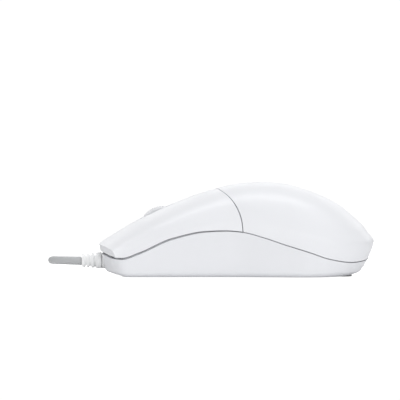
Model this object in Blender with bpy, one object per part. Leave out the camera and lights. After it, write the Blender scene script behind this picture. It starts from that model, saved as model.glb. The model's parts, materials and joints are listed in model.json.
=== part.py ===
"""Wired optical mouse: shells, buttons, wheel, electronics, feet, cord and plug.

All named sizes are in millimetres. MM turns them into metres where a mesh is made.
X runs from the front (cord end, -X) to the rear, Y across, Z up. The mouse rests on z = 0.
"""
import math

import bmesh
import bpy
import numpy as np
from mathutils import Matrix, Vector

MM = 0.001

# Overall sizes
LENGTH = 115.0
WIDTH = 62.0
HEIGHT = 38.7

# Shells
WALL = 1.8
BASE_UNDERSIDE = 0.4
FLOOR_THICKNESS = 2.0
SEAM_GAP = 0.45
BUTTON_GAP_FRONT = 1.0
BUTTON_GAP_REAR = 0.45
COVER_GAP = 0.3
BUTTON_SPLIT = 1.0
LIP_SETBACK = 0.6
SEAT = 0.3

# Motion
RAIL_RADIUS = 1.5
RAIL_CLEARANCE = 0.2
KNUCKLE_WALL = 1.2
KNUCKLE_START = 4.5
KNUCKLE_LENGTH = 12.0
LEG_RADIUS = 2.1
LEG_PIN_RADIUS = 1.2
LEG_SHOULDER_Z = 12.0

# Wheel
WHEEL_RADIUS = 10.0
WHEEL_WIDTH = 7.0
WHEEL_CENTRE_Z = 19.0
TYRE_THICKNESS = 2.0
AXLE_RADIUS = 1.3
AXLE_HALF = 7.0
WHEEL_SLOT_SHORTER = 2.0
WHEEL_SIDE_CLEARANCE = 0.8
ENCODER_SLOTS = 12
AXLE_CLEARANCE = 0.15
BAR_HALF_LENGTH = 2.2
BAR_HALF_HEIGHT = 1.8
LEAF_THICKNESS = 0.4
LEAF_HALF_WIDTH = 1.5

# Board and what it carries
BOARD_Z = 7.4
BOARD_THICKNESS = 1.6
BOARD_HALF_WIDTH = 20.0
BOARD_NOTCH_SHARE = 0.6
SWITCH_SIZE = (12.8, 5.8, 6.5)
SWITCH_Y = 14.0
PLUNGER_SIZE = (1.2, 2.4)
PLUNGER_AHEAD = 3.2
WHEEL_SWITCH_SIZE = (6.0, 3.6, 6.5)
PLUNGER_RISE = 1.0
PLUNGER_CLEARANCE = 0.2
SENSOR_HOLE = (12.0, 8.0)
LENS_SIZE = (17.0, 12.0)
LED_RADIUS = 2.5
LEAD_RADIUS = 0.42
LEAD_PITCH = 1.4

# Fasteners and feet
SCREW_SHANK_RADIUS = 1.25
SCREW_HEAD_RADIUS = 2.6
SCREW_HEAD_HEIGHT = 1.8
BOSS_WALL = 1.6
CASE_SCREW_SHANK = 14.0
BOARD_SCREW_SHANK = 5.6
SCREW_POST_TOP = 10.0
FOOT_THICKNESS = 0.7
FOOT_WIDTH = 6.0

# Cord, coil and plug
CORD_RADIUS = 1.7
CORD_Z = 6.2
COIL_BEHIND_NOSE = 35.5
COIL_ASIDE = 66.0
COIL_MIDDLE_RADIUS = 21.0
COIL_HALF_WIDTH = 6.0
COIL_BOTTOM = 1.2
COIL_HEIGHT = 12.4
TIE_HALF_WIDTH = 1.6
TIE_THICKNESS = 0.7
TIE_CORNER = 1.2
PLUG_BEHIND_COIL = 44.0
PLUG_NEARER = 19.5
OVERMOULD_SIZE = (21.0, 15.5, 8.0)
USB_SHELL_SIZE = (12.0, 12.0, 4.5)
USB_SHELL_WALL = 0.3

# Where things stand along the mouse, as shares of its half length from the middle
NOSE = -1.0
SEAM_MIDDLE = -0.144
SUMMIT = 0.165
WHEEL_ALONG = -0.534
PIVOT_ALONG = -0.77
RAIL_ALONG = -0.09
SCREW_ALONG = 0.66

# Height of the middle line over the length, as shares of half length and of height
CREST = (
    (-1.0, 0.345), (-0.877, 0.460), (-0.703, 0.610), (-0.483, 0.760), (-0.223, 0.902),
    (0.040, 0.990), (0.165, 1.0), (0.390, 0.972), (0.651, 0.837),
)
# The rear end of the same line, from the summit over the tail and in to the parting line
TAIL = (
    (0.165, 1.0), (0.285, 0.992), (0.390, 0.972), (0.520, 0.915), (0.651, 0.837), (0.750, 0.755),
    (0.826, 0.664), (0.913, 0.545), (0.957, 0.460), (0.990, 0.400), (1.0, 0.360), (0.993, 0.308),
    (0.982, 0.262), (0.962, 0.196),
)
# Top edge of the base, as shares of half length and of height
PARTING = (
    (-1.0, 0.240), (-0.967, 0.236), (-0.900, 0.205), (-0.821, 0.194), (-0.706, 0.248), (-0.463, 0.406),
    (-0.219, 0.486), (-0.075, 0.496), (0.043, 0.483), (0.186, 0.429), (0.348, 0.349), (0.511, 0.274),
    (0.673, 0.194), (0.835, 0.158), (0.932, 0.171), (0.960, 0.194),
)
# Half width at the parting line, as shares of half length and of half width
PLAN = (
    (-1.0, 0.860), (-0.87, 0.885), (-0.60, 0.905), (-0.30, 0.900), (-0.05, 0.905), (0.20, 0.955),
    (0.45, 1.0),
)
PLAN_WIDEST = 0.45
PLAN_REAR = 0.960
PLAN_REAR_POWER = 2.25

# How a section rounds over from the middle to the flank
CROWN_POWER = 2.4
SHOULDER_POWER = 3.2
FLANK_FLARE = 0.2
SEAM_BEND = 10.7
NOSE_BEND = 7.4
BEND_POWER = 2.0


# ---------------------------------------------------------------- curves

def smooth_curve(points):
    """Return a function through the points that never overshoots them (monotone cubic)."""
    xs = np.array([p[0] for p in points], float)
    ys = np.array([p[1] for p in points], float)
    step = np.diff(xs)
    rise = np.diff(ys) / step
    slope = np.zeros(len(xs))
    slope[0] = rise[0]
    slope[-1] = rise[-1]
    for i in range(1, len(xs) - 1):
        if rise[i - 1] * rise[i] > 0:
            near = 2 * step[i] + step[i - 1]
            far = step[i] + 2 * step[i - 1]
            slope[i] = (near + far) / (near / rise[i - 1] + far / rise[i])

    def value(x):
        x = min(max(x, xs[0]), xs[-1])
        i = min(int(np.searchsorted(xs, x, side="right")) - 1, len(xs) - 2)
        h = step[i]
        t = (x - xs[i]) / h
        a = (1 + 2 * t) * (1 - t) ** 2 * ys[i] + t * (1 - t) ** 2 * h * slope[i]
        b = t * t * (3 - 2 * t) * ys[i + 1] + t * t * (t - 1) * h * slope[i + 1]
        return a + b

    return value


def smooth_path(points, count):
    """Return count points evenly along a Catmull-Rom curve through the given points."""
    given = [np.array(p, float) for p in points]
    given = [2 * given[0] - given[1]] + given + [2 * given[-1] - given[-2]]
    fine = []
    for i in range(1, len(given) - 2):
        p0, p1, p2, p3 = given[i - 1:i + 3]
        for t in np.linspace(0, 1, 24, endpoint=False):
            fine.append(0.5 * (2 * p1 + (p2 - p0) * t + (2 * p0 - 5 * p1 + 4 * p2 - p3) * t * t
                               + (3 * p1 - p0 - 3 * p2 + p3) * t ** 3))
    fine.append(given[-2])
    fine = np.array(fine)
    run = np.concatenate([[0], np.cumsum(np.linalg.norm(np.diff(fine, axis=0), axis=1))])
    wanted = np.linspace(0, run[-1], count)
    return np.array([[np.interp(s, run, fine[:, k]) for k in range(fine.shape[1])] for s in wanted])


crest_share = smooth_curve(CREST)
parting_share = smooth_curve(PARTING)
plan_share = smooth_curve(PLAN)


def along(share):
    """X of a place given as a share of the half length."""
    return share * LENGTH / 2


def crest(x):
    return HEIGHT * crest_share(2 * x / LENGTH)


def parting(x):
    return HEIGHT * parting_share(2 * x / LENGTH)


def half_width(x):
    """Half width at the parting line: a smooth line, closed by a blunt rear end."""
    share = 2 * x / LENGTH
    if share <= PLAN_WIDEST:
        return WIDTH / 2 * plan_share(share)
    u = min((share - PLAN_WIDEST) / (PLAN_REAR - PLAN_WIDEST), 1.0)
    return WIDTH / 2 * (1 - u ** PLAN_REAR_POWER) ** (1 / PLAN_REAR_POWER)


def button_gap(x):
    """Gap under a button's edge: wide at the front, a fine line near the seam."""
    near_seam = np.clip((x - along(-0.5)) / (along(0.0) - along(-0.5)), 0, 1)
    return BUTTON_GAP_FRONT + (BUTTON_GAP_REAR - BUTTON_GAP_FRONT) * near_seam


def bend(x):
    """How far back a section that starts at x on the middle line meets the flank."""
    nose = along(NOSE)
    seam = along(SEAM_MIDDLE)
    summit = along(SUMMIT)
    if x <= seam:
        return NOSE_BEND + (SEAM_BEND - NOSE_BEND) * (x - nose) / (seam - nose)
    return SEAM_BEND * (summit - x) / (summit - seam)


# ---------------------------------------------------------------- outer surface

FLARED = 1 - FLANK_FLARE ** SHOULDER_POWER


def section_shares(v):
    """Share of the half width and of the height at v, 0 on the middle line and 1 on the flank."""
    full = math.acos(FLANK_FLARE ** (SHOULDER_POWER / 2))
    angle = v * full
    across = (math.sin(angle) ** 2 / FLARED) ** (1 / CROWN_POWER)
    high = (math.cos(angle) ** (2 / SHOULDER_POWER) - FLANK_FLARE) / (1 - FLANK_FLARE)
    return across, max(high, 0.0)


def section_start(across):
    """The v of a section at a given share of its half width."""
    full = math.acos(FLANK_FLARE ** (SHOULDER_POWER / 2))
    return math.asin(math.sqrt(min(across ** CROWN_POWER * FLARED, 1.0))) / full


def section_point(x, v, gap):
    """Point on the top surface in the section that starts at x on the middle line."""
    across, high = section_shares(v)
    foot_x = x + bend(x)
    low = parting(foot_x) + gap
    return (x + bend(x) * across ** BEND_POWER, half_width(foot_x) * across, low + (crest(x) - low) * high)


TAIL_POINTS = smooth_path([(u * LENGTH / 2, z * HEIGHT) for u, z in TAIL], 97)


def tail_point(turn, v, gap):
    """Point on the rear end: turn runs from 0 on the flank to 1 on the middle of the tail."""
    summit_x = along(SUMMIT)
    rear_x = along(PLAN_REAR)
    angle = turn * math.pi / 2
    foot_x = summit_x + (rear_x - summit_x) * math.sin(angle) ** 1.15
    foot_y = half_width(foot_x) if turn < 1 else 0.0
    direction = (foot_x - summit_x) / math.hypot(foot_x - summit_x, foot_y)
    weight = direction ** 2
    low = parting(foot_x) + gap
    across, high = section_shares(v)
    index = v * (len(TAIL_POINTS) - 1)
    tail_x = np.interp(index, range(len(TAIL_POINTS)), TAIL_POINTS[:, 0])
    tail_z = np.interp(index, range(len(TAIL_POINTS)), TAIL_POINTS[:, 1])
    reach = (tail_x - summit_x) / (TAIL_POINTS[-1, 0] - summit_x)
    rise = (tail_z - TAIL_POINTS[-1, 1]) / (TAIL_POINTS[0, 1] - TAIL_POINTS[-1, 1])
    out = (1 - weight) * across + weight * reach
    up = (1 - weight) * high + weight * rise
    return (summit_x + (foot_x - summit_x) * out, foot_y * out, low + (HEIGHT - low) * up)


# ---------------------------------------------------------------- mesh building

def clean_scene():
    for item in list(bpy.data.objects):
        bpy.data.objects.remove(item, do_unlink=True)


def make_material(name, colour, roughness, metallic=0.0, alpha=1.0):
    material = bpy.data.materials.new(name)
    material.use_nodes = True
    shader = material.node_tree.nodes["Principled BSDF"]
    shader.inputs["Base Color"].default_value = (*colour, 1.0)
    shader.inputs["Roughness"].default_value = roughness
    shader.inputs["Metallic"].default_value = metallic
    shader.inputs["Alpha"].default_value = alpha
    return material


def add_solid(name, points, faces, material, origin=(0, 0, 0), smooth=True):
    """Make one closed object from points in millimetres, facing out, with its origin where asked."""
    origin = np.array(origin, float)
    mesh = bpy.data.meshes.new(name)
    mesh.from_pydata([tuple((np.array(p, float) - origin) * MM) for p in points], [], faces)
    work = bmesh.new()
    work.from_mesh(mesh)
    if work.calc_volume(signed=True) < 0:
        bmesh.ops.reverse_faces(work, faces=work.faces)
    work.to_mesh(mesh)
    work.free()
    if smooth:
        mesh.shade_smooth()
        mesh.set_sharp_from_angle(angle=math.radians(35))
    if material:
        mesh.materials.append(material)
    item = bpy.data.objects.new(name, mesh)
    item.location = origin * MM
    bpy.context.scene.collection.objects.link(item)
    return item


def thick_patch(points, faces, wall):
    """Close an open patch into a shell: the patch, its copy pushed inwards, and a rim between them."""
    work = bmesh.new()
    made = [work.verts.new(p) for p in points]
    for face in faces:
        work.faces.new([made[i] for i in face])
    work.normal_update()
    middle = np.mean(points, axis=0)
    facing = sum((f.calc_center_median() - Vector(middle)).dot(f.normal) * f.calc_area()
                 for f in work.faces)
    sign = 1 if facing > 0 else -1
    normals = [v.normal.copy() * sign for v in made]
    work.verts.index_update()
    rim = []
    for face in work.faces:
        for loop in face.loops:
            if len(loop.edge.link_faces) == 1:
                rim.append((loop.vert.index, loop.link_loop_next.vert.index))
    work.free()
    inner = [tuple(Vector(p) - n * wall) for p, n in zip(points, normals)]
    count = len(points)
    all_points = list(points) + inner
    all_faces = [tuple(f) for f in faces]
    all_faces += [tuple(i + count for i in reversed(f)) for f in faces]
    all_faces += [(b, a, a + count, b + count) for a, b in rim]
    return all_points, all_faces


def grid_patch(rows):
    """Points and quads of a grid of rows. Neighbours that fall together are welded."""
    points = []
    index = []
    known = {}
    for row in rows:
        line = []
        for p in row:
            key = tuple(round(c, 3) for c in p)
            if key not in known:
                known[key] = len(points)
                points.append(tuple(float(c) for c in p))
            line.append(known[key])
        index.append(line)
    faces = []
    for upper, lower in zip(index[:-1], index[1:]):
        for k in range(len(upper) - 1):
            ring = [upper[k], upper[k + 1], lower[k + 1], lower[k]]
            slim = [p for n, p in enumerate(ring) if p != ring[n - 1]]
            if len(set(slim)) >= 3:
                faces.append(tuple(slim))
    return points, faces


def box_shape(low, high):
    """Points and faces of a box between two corners."""
    points = [(x, y, z) for z in (low[2], high[2]) for y in (low[1], high[1]) for x in (low[0], high[0])]
    faces = [(0, 2, 3, 1), (4, 5, 7, 6), (0, 1, 5, 4), (2, 6, 7, 3), (0, 4, 6, 2), (1, 3, 7, 5)]
    return points, faces


def turned_shape(profile, steps, centre, axis):
    """Turn a closed profile of (radius, distance along the axis) about X, Y or Z through a centre."""
    points = []
    rings = []
    for radius, distance in profile:
        ring = []
        for k in range(steps if radius > 0 else 1):
            angle = 2 * math.pi * k / steps
            a = radius * math.cos(angle)
            b = radius * math.sin(angle)
            local = {"X": (distance, a, b), "Y": (b, distance, a), "Z": (a, b, distance)}[axis]
            ring.append(len(points))
            points.append(tuple(c + l for c, l in zip(centre, local)))
        rings.append(ring)
    closed = all(r > 0 for r, _ in profile)
    pairs = list(zip(rings, rings[1:]))
    if closed:
        pairs.append((rings[-1], rings[0]))
    faces = []
    for first, second in pairs:
        for k in range(steps):
            ring = [first[k % len(first)], first[(k + 1) % len(first)],
                    second[(k + 1) % len(second)], second[k % len(second)]]
            slim = [p for n, p in enumerate(ring) if p != ring[n - 1]]
            if len(set(slim)) >= 3:
                faces.append(tuple(slim))
    return points, faces


def prism_shape(outline, low, high):
    """Extrude a plan outline from one height to another."""
    count = len(outline)
    points = [(x, y, low) for x, y in outline] + [(x, y, high) for x, y in outline]
    faces = [tuple(reversed(range(count))), tuple(range(count, 2 * count))]
    faces += [(k, (k + 1) % count, (k + 1) % count + count, k + count) for k in range(count)]
    return points, faces


def side_prism_shape(outline, low_y, high_y):
    """Extrude an outline in X and Z across from one Y to another."""
    count = len(outline)
    points = [(x, low_y, z) for x, z in outline] + [(x, high_y, z) for x, z in outline]
    faces = [tuple(range(count)), tuple(reversed(range(count, 2 * count)))]
    faces += [((k + 1) % count, k, k + count, (k + 1) % count + count) for k in range(count)]
    return points, faces


def add_tool(item, shape, operation):
    """Cut a shape out of an item, or join it on, with an exact Boolean that stays live."""
    number = len(item.modifiers)
    tool = add_solid(f"{item.name}_tool_{number}", *shape, None, smooth=False)
    tool.hide_render = True
    tool.display_type = "WIRE"
    modifier = item.modifiers.new(f"tool_{number}", "BOOLEAN")
    modifier.operation = operation
    modifier.solver = "EXACT"
    modifier.object = tool
    return tool


def cut(item, shape):
    add_tool(item, shape, "DIFFERENCE")


def join(item, shape):
    add_tool(item, shape, "UNION")


def bevel(item, width, segments=1):
    modifier = item.modifiers.new("edges", "BEVEL")
    modifier.width = width * MM
    modifier.segments = segments
    modifier.limit_method = "ANGLE"
    modifier.angle_limit = math.radians(40)


def rounded_outline(half_x, half_y, radius, centre=(0, 0), steps=4):
    """Plan outline of a rectangle with round corners."""
    outline = []
    for corner, (sx, sy) in enumerate(((1, 1), (-1, 1), (-1, -1), (1, -1))):
        for k in range(steps + 1):
            angle = math.pi / 2 * (corner + k / steps)
            outline.append((centre[0] + sx * (half_x - radius) + radius * math.cos(angle),
                            centre[1] + sy * (half_y - radius) + radius * math.sin(angle)))
    return outline


def add_tube(name, path, radius, material, sides):
    """A round cord along a path of points in millimetres, with filled ends."""
    curve = bpy.data.curves.new(name, "CURVE")
    curve.dimensions = "3D"
    curve.bevel_depth = radius * MM
    curve.bevel_resolution = sides
    curve.use_fill_caps = True
    spline = curve.splines.new("POLY")
    spline.points.add(len(path) - 1)
    for point, place in zip(spline.points, path):
        point.co = (*(c * MM for c in place), 1.0)
    curve.materials.append(material)
    item = bpy.data.objects.new(name, curve)
    bpy.context.scene.collection.objects.link(item)
    return item


def give_parent(item, parent):
    """Parent without moving the item."""
    item.parent = parent
    item.matrix_parent_inverse = parent.matrix_world.inverted()


def add_empty(name, place):
    empty = bpy.data.objects.new(name, None)
    empty.location = Vector(place) * MM
    bpy.context.scene.collection.objects.link(empty)
    bpy.context.view_layer.update()
    return empty


# ---------------------------------------------------------------- places shared by several pieces

COIL_CENTRE = (along(NOSE) + COIL_BEHIND_NOSE, COIL_ASIDE)
PLUG_START = (COIL_CENTRE[0] + PLUG_BEHIND_COIL, COIL_ASIDE - PLUG_NEARER)
WHEEL_X = along(WHEEL_ALONG)
SLOT_X = WHEEL_X - 3.4
SLOT_HALF_LENGTH = WHEEL_RADIUS - WHEEL_SLOT_SHORTER
PIVOT_X = along(PIVOT_ALONG)
PIVOT_Z = 13.5
RAIL_X = along(RAIL_ALONG)
RAIL_Z = 27.0
FLOOR_TOP = BASE_UNDERSIDE + FLOOR_THICKNESS
BOARD_TOP = BOARD_Z + BOARD_THICKNESS
SWITCH_BASE = BOARD_TOP + SEAT
SWITCH_TOP = SWITCH_BASE + SWITCH_SIZE[2]
PLUNGER_TOP = SWITCH_TOP + PLUNGER_RISE
SWITCH_X = along(-0.565)
PLUNGER_X = SWITCH_X - PLUNGER_AHEAD
BOARD_FRONT = along(-0.70)
BOARD_REAR = along(0.50)
SCREW_X = along(SCREW_ALONG)
WHEEL_SWITCH_Y = AXLE_HALF + 1.9
CARRIER_ARM_IN = WHEEL_WIDTH / 2 + 0.7
CARRIER_ARM_OUT = CARRIER_ARM_IN + 1.6
BOOT_TIP_X = along(NOSE) - 7.1
WALL_HOLE_RADIUS = 4.1
BOOT_INNER_X = along(NOSE) + 6.0


# ---------------------------------------------------------------- base

def corner_curve(start, corner, end, steps):
    """Quadratic curve from start to end that rounds off a corner, without its end points."""
    made = []
    for k in range(1, steps):
        t = k / steps
        made.append(tuple((1 - t) ** 2 * a + 2 * t * (1 - t) * b + t * t * c
                          for a, b, c in zip(start, corner, end)))
    return made


def base_half_outline():
    """Plan outline of the base's top edge on the +Y side, from the nose to the tail."""
    nose_x = along(NOSE) + 1.0
    corner_x = along(NOSE) + NOSE_BEND
    reach = half_width(corner_x)

    def front_x(y):
        return nose_x + (corner_x - nose_x) * (y / reach) ** BEND_POWER

    start_y = 0.78 * reach
    end_x = corner_x + 5.0
    points = [(front_x(y), y) for y in np.linspace(0, start_y, 7)]
    points += corner_curve((front_x(start_y), start_y), (corner_x, reach), (end_x, half_width(end_x)), 6)
    points += [(x, half_width(x)) for x in np.linspace(end_x, along(0.52), 20)]
    rear_x = along(PLAN_REAR)
    span = rear_x - along(0.52)
    points += [(rear_x - span * (1 - math.sin(a)), half_width(rear_x - span * (1 - math.sin(a))))
               for a in np.linspace(0, math.pi / 2, 14)[1:-1]]
    points.append((rear_x, 0.0))
    return points


def outline_normals(outline):
    """Outward directions in plan of a closed outline that runs round once."""
    count = len(outline)
    normals = []
    for k in range(count):
        before = np.array(outline[k - 1])
        after = np.array(outline[(k + 1) % count])
        step = after - before
        normal = np.array([step[1], -step[0]])
        normals.append(normal / np.linalg.norm(normal))
    middle = np.mean(outline, axis=0)
    if np.dot(normals[0], np.array(outline[0]) - middle) < 0:
        normals = [-n for n in normals]
    return normals


def end_weights(normal):
    """How much a place on the outline belongs to the front, the rear and the sides."""
    front = max(-normal[0], 0.0) ** 2
    rear = max(normal[0], 0.0) ** 2
    return front, rear, 1 - front - rear


def base_inset(normal, drop):
    """How far the base has drawn in at a depth below its top edge."""
    front, rear, side = end_weights(normal)
    return front * 0.27 * drop + rear * 0.62 * drop + side * 0.035 * drop


def base_ring(outline, normals, share, extra=(0, 0, 0), floor=None):
    """One ring of the base wall: share 0 is the top edge, 1 is the bottom."""
    ring = []
    for place, normal in zip(outline, normals):
        top = parting(place[0])
        low = floor if floor is not None else BASE_UNDERSIDE + 1.9
        z = top + (low - top) * share
        front, rear, side = end_weights(normal)
        inset = base_inset(normal, top - z) + front * extra[0] + rear * extra[1] + side * extra[2]
        ring.append((place[0] - normal[0] * inset, place[1] - normal[1] * inset, z))
    return ring


def ring_shape(rings):
    """Closed solid from rings that run down the outside, in, and up the inside."""
    count = len(rings[0][0])
    outer, inner = rings
    points = [p for ring in outer for p in ring] + [p for ring in inner for p in ring]
    faces = []
    total = len(outer) + len(inner)
    for r in range(total - 1):
        if r == len(outer) - 1:
            continue
        for k in range(count):
            n = (k + 1) % count
            faces.append((r * count + k, r * count + n, (r + 1) * count + n, (r + 1) * count + k))
    last = total - 1
    for k in range(count):
        n = (k + 1) % count
        faces.append((last * count + k, last * count + n, n, k))
    faces.append(tuple((len(outer) - 1) * count + k for k in range(count)))
    faces.append(tuple(reversed([len(outer) * count + k for k in range(count)])))
    return points, faces


def make_base_shell(material):
    half = base_half_outline()
    outline = half + [(x, -y) for x, y in reversed(half[1:-1])]
    normals = outline_normals(outline)
    outer = [base_ring(outline, normals, share) for share in (0, 0.35, 0.7, 1)]
    outer.append(base_ring(outline, normals, 1, (4.0, 2.5, 0.7), BASE_UNDERSIDE + 0.5))
    outer.append(base_ring(outline, normals, 1, (8.0, 6.0, 2.0), BASE_UNDERSIDE))
    inner = [base_ring(outline, normals, 1, (8.0 + WALL, 6.0, 2.0 + WALL), FLOOR_TOP)]
    inner += [base_ring(outline, normals, share, (WALL, WALL, WALL)) for share in (0.7, 0.35, 0)]
    shape = ring_shape((outer, inner))
    base = add_solid("base_shell", *shape, material)
    add_base_posts(base)
    cut_base_openings(base)
    return base


def post_shape(x, y, radius, low, high, steps=12):
    return turned_shape([(0, low), (radius, low), (radius, high), (0, high)], steps, (x, y, 0), "Z")


def add_base_posts(base):
    root = FLOOR_TOP - 0.8
    for x, y in board_screw_places():
        join(base, post_shape(x, y, SCREW_SHANK_RADIUS + BOSS_WALL, root, BOARD_Z - SEAT))
    join(base, post_shape(SCREW_X, 0, SCREW_HEAD_RADIUS + BOSS_WALL, root, SCREW_POST_TOP, 20))
    for side in (-1, 1):
        y = side * (CARRIER_ARM_OUT + SEAT)
        ear = side_prism_shape([(PIVOT_X - 3, root), (PIVOT_X + 3, root), (PIVOT_X + 3, PIVOT_Z + 1),
                                (PIVOT_X + 1.8, PIVOT_Z + 2.6), (PIVOT_X - 1.8, PIVOT_Z + 2.6),
                                (PIVOT_X - 3, PIVOT_Z + 1)], min(y, y + side * 2), max(y, y + side * 2))
        join(base, ear)
        join(base, post_shape(RAIL_X, side * bridge_foot_y(), 2.8, root, LEG_SHOULDER_Z))


def bridge_foot_y():
    """Where the bridge's legs stand, clear of the board's edge."""
    return half_width(RAIL_X) - WALL - 7.0


def board_screw_places():
    return [(along(-0.20), -16.5), (along(0.40), 12.0)]


def cut_base_openings(base):
    for side in (-1, 1):
        low = min(side * CARRIER_ARM_OUT, side * (CARRIER_ARM_OUT + 4))
        cut(base, turned_shape([(0, low), (AXLE_RADIUS + AXLE_CLEARANCE, low),
                                (AXLE_RADIUS + AXLE_CLEARANCE, low + 4), (0, low + 4)], 16,
                               (PIVOT_X, 0, PIVOT_Z), "Y"))
        cut(base, post_shape(RAIL_X, side * bridge_foot_y(), LEG_PIN_RADIUS + SEAT, FLOOR_TOP + 2,
                             LEG_SHOULDER_Z + 1))
    for x, y in board_screw_places():
        cut(base, post_shape(x, y, SCREW_SHANK_RADIUS + 0.1, FLOOR_TOP + 0.2, BOARD_Z))
    low = BASE_UNDERSIDE - 0.2
    cut(base, turned_shape([(0, low), (SCREW_HEAD_RADIUS + SEAT, low),
                            (SCREW_HEAD_RADIUS + SEAT, screw_head_top() + SEAT),
                            (SCREW_SHANK_RADIUS + SEAT, screw_head_top() + SEAT),
                            (SCREW_SHANK_RADIUS + SEAT, SCREW_POST_TOP + 1), (0, SCREW_POST_TOP + 1)],
                           20, (SCREW_X, 0, 0), "Z"))
    cut(base, prism_shape(rounded_outline(SENSOR_HOLE[0] / 2, SENSOR_HOLE[1] / 2, 2), low, FLOOR_TOP + 0.5))
    for _, centre, half in foot_plans():
        cut(base, prism_shape(rounded_outline(half[0] + SEAT, half[1] + SEAT, half[0] * 0.9 + SEAT, centre),
                              low, FOOT_THICKNESS + SEAT))
    cut(base, prism_shape(rounded_outline(*(h + SEAT for h in label_half()), 2, label_centre()),
                          low, BASE_UNDERSIDE + 0.6))
    nose = along(NOSE)
    cut(base, turned_shape([(0, nose - 2), (WALL_HOLE_RADIUS, nose - 2), (WALL_HOLE_RADIUS, nose + 9),
                            (0, nose + 9)], 20, (0, 0, CORD_Z), "X"))
    cut(base, box_shape((nose - 2, -WALL_HOLE_RADIUS, CORD_Z), (nose + 9, WALL_HOLE_RADIUS, 14)))
    cut(base, box_shape((BOOT_INNER_X - 2.3, -5.8, CORD_Z - 3.3), (BOOT_INNER_X + 0.3, 5.8, 14)))


def screw_head_top():
    return BASE_UNDERSIDE + 1.0 + SCREW_HEAD_HEIGHT


def foot_plans():
    """Name, centre and half sizes of the two feet."""
    return [("front_foot", (along(-0.70), 0), (FOOT_WIDTH / 2, 17.0)),
            ("rear_foot", (along(0.78), 0), (FOOT_WIDTH / 2, 13.0))]


def label_centre():
    return (along(0.36), 0)


def label_half():
    return (9.0, 14.0)


def make_feet(material):
    for name, centre, half in foot_plans():
        outline = rounded_outline(half[0], half[1], half[0] * 0.9, centre, 5)
        add_solid(name, *prism_shape(outline, 0, FOOT_THICKNESS), material)


def make_label(material):
    outline = rounded_outline(*label_half(), 1.7, label_centre())
    add_solid("blank_label", *prism_shape(outline, BASE_UNDERSIDE + 0.05, BASE_UNDERSIDE + 0.3), material)


# ---------------------------------------------------------------- upper shells

def slot_half_width(x):
    """Distance of a button's inner edge from the middle: the split, widened round the wheel."""
    half = WHEEL_WIDTH / 2 + WHEEL_SIDE_CLEARANCE
    u = abs(x - SLOT_X) / SLOT_HALF_LENGTH
    if u >= 1:
        return BUTTON_SPLIT / 2
    return max(BUTTON_SPLIT / 2, half * (1 - u ** 5) ** (1 / 3))


def button_stations():
    """Where a button's sections start on the middle line, closer together round the wheel."""
    slot = SLOT_HALF_LENGTH
    front = list(np.linspace(along(NOSE), SLOT_X - slot, 7))
    middle = [SLOT_X - slot * math.cos(a) for a in np.linspace(0, math.pi, 13)[1:-1]]
    rear = list(np.linspace(SLOT_X + slot, along(SEAM_MIDDLE) - SEAM_GAP / 2, 8))
    return front + middle + rear


def button_rows(side, columns):
    """Grid of one button's outer surface, with its front lip as the first row."""
    rows = []
    for x in button_stations():
        reach = half_width(x + bend(x))
        start = section_start(slot_half_width(x) / reach)
        gap = button_gap(x + bend(x))
        row = []
        for v in np.linspace(start, 1, columns):
            px, py, pz = section_point(x, v, gap)
            row.append((px, side * py, pz))
        rows.append(row)
    lip = []
    for px, py, _ in rows[0]:
        low = parting(px) + button_gap(px)
        lip.append((px + LIP_SETBACK, py, low))
    lip[-1] = rows[0][-1]
    return [lip] + rows


def inner_height(x, y):
    """Height of a button's inner face over a place in plan."""
    reach = half_width(x)
    across = min(abs(y) / reach, 0.95)
    start = x
    for _ in range(8):
        start = x - bend(start) * across ** BEND_POWER
    _, high = section_shares(section_start(across))
    low = parting(start + bend(start))
    slope = (crest(start + 1) - crest(start - 1)) / 2
    return low + (crest(start) - low) * high - WALL * math.hypot(1, slope) * 1.05


def block_under_shell(x_low, x_high, y_low, y_high, bottom, sink=0.8):
    """A rib whose top follows the shell's inner face and reaches a little into the wall."""
    corners = [(x_low, y_low), (x_high, y_low), (x_high, y_high), (x_low, y_high)]
    points = [(x, y, bottom) for x, y in corners] + [(x, y, inner_height(x, y) + sink) for x, y in corners]
    faces = [(3, 2, 1, 0), (4, 5, 6, 7)] + [(k, (k + 1) % 4, (k + 1) % 4 + 4, k + 4) for k in range(4)]
    return points, faces


def make_button(name, side, material, pivot):
    points, faces = grid_patch(button_rows(side, 12))
    points, faces = thick_patch(points, faces, WALL)
    button = add_solid(name, points, faces, material, (RAIL_X, 0, RAIL_Z))
    rib_x = PLUNGER_X
    y = side * SWITCH_Y
    join(button, block_under_shell(rib_x - 1.2, rib_x + 1.2, y - 2, y + 2, PLUNGER_TOP + SEAT))
    add_knuckle(button, side)
    give_parent(button, pivot)
    return button


def knuckle_span(side):
    """From beside the middle to the bridge's leg, or as far as a knuckle is long."""
    reach = min(KNUCKLE_START + KNUCKLE_LENGTH, bridge_foot_y() - LEG_RADIUS - SEAT)
    return tuple(sorted((side * KNUCKLE_START, side * reach)))


def add_knuckle(button, side):
    """A tongue behind the plate that ends in a knuckle round the rail."""
    low, high = knuckle_span(side)
    radius = RAIL_RADIUS + RAIL_CLEARANCE + KNUCKLE_WALL
    front = along(SEAM_MIDDLE) - 4.0
    roof = min(inner_height(front, low), inner_height(front, high))
    root = RAIL_X - radius + 0.6
    tongue = side_prism_shape([(front - 2.5, roof + 0.9), (front - 2.5, roof - 2.4), (root, RAIL_Z - 0.8),
                               (root, RAIL_Z + 1.6), (front, roof - 0.2), (front, roof + 0.9)], low, high)
    join(button, tongue)
    join(button, turned_shape([(0, low), (radius, low), (radius, high), (0, high)], 16,
                              (RAIL_X, 0, RAIL_Z), "Y"))
    bore = RAIL_RADIUS + RAIL_CLEARANCE
    cut(button, turned_shape([(0, low - 1), (bore, low - 1), (bore, high + 1), (0, high + 1)], 20,
                             (RAIL_X, 0, RAIL_Z), "Y"))


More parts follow.
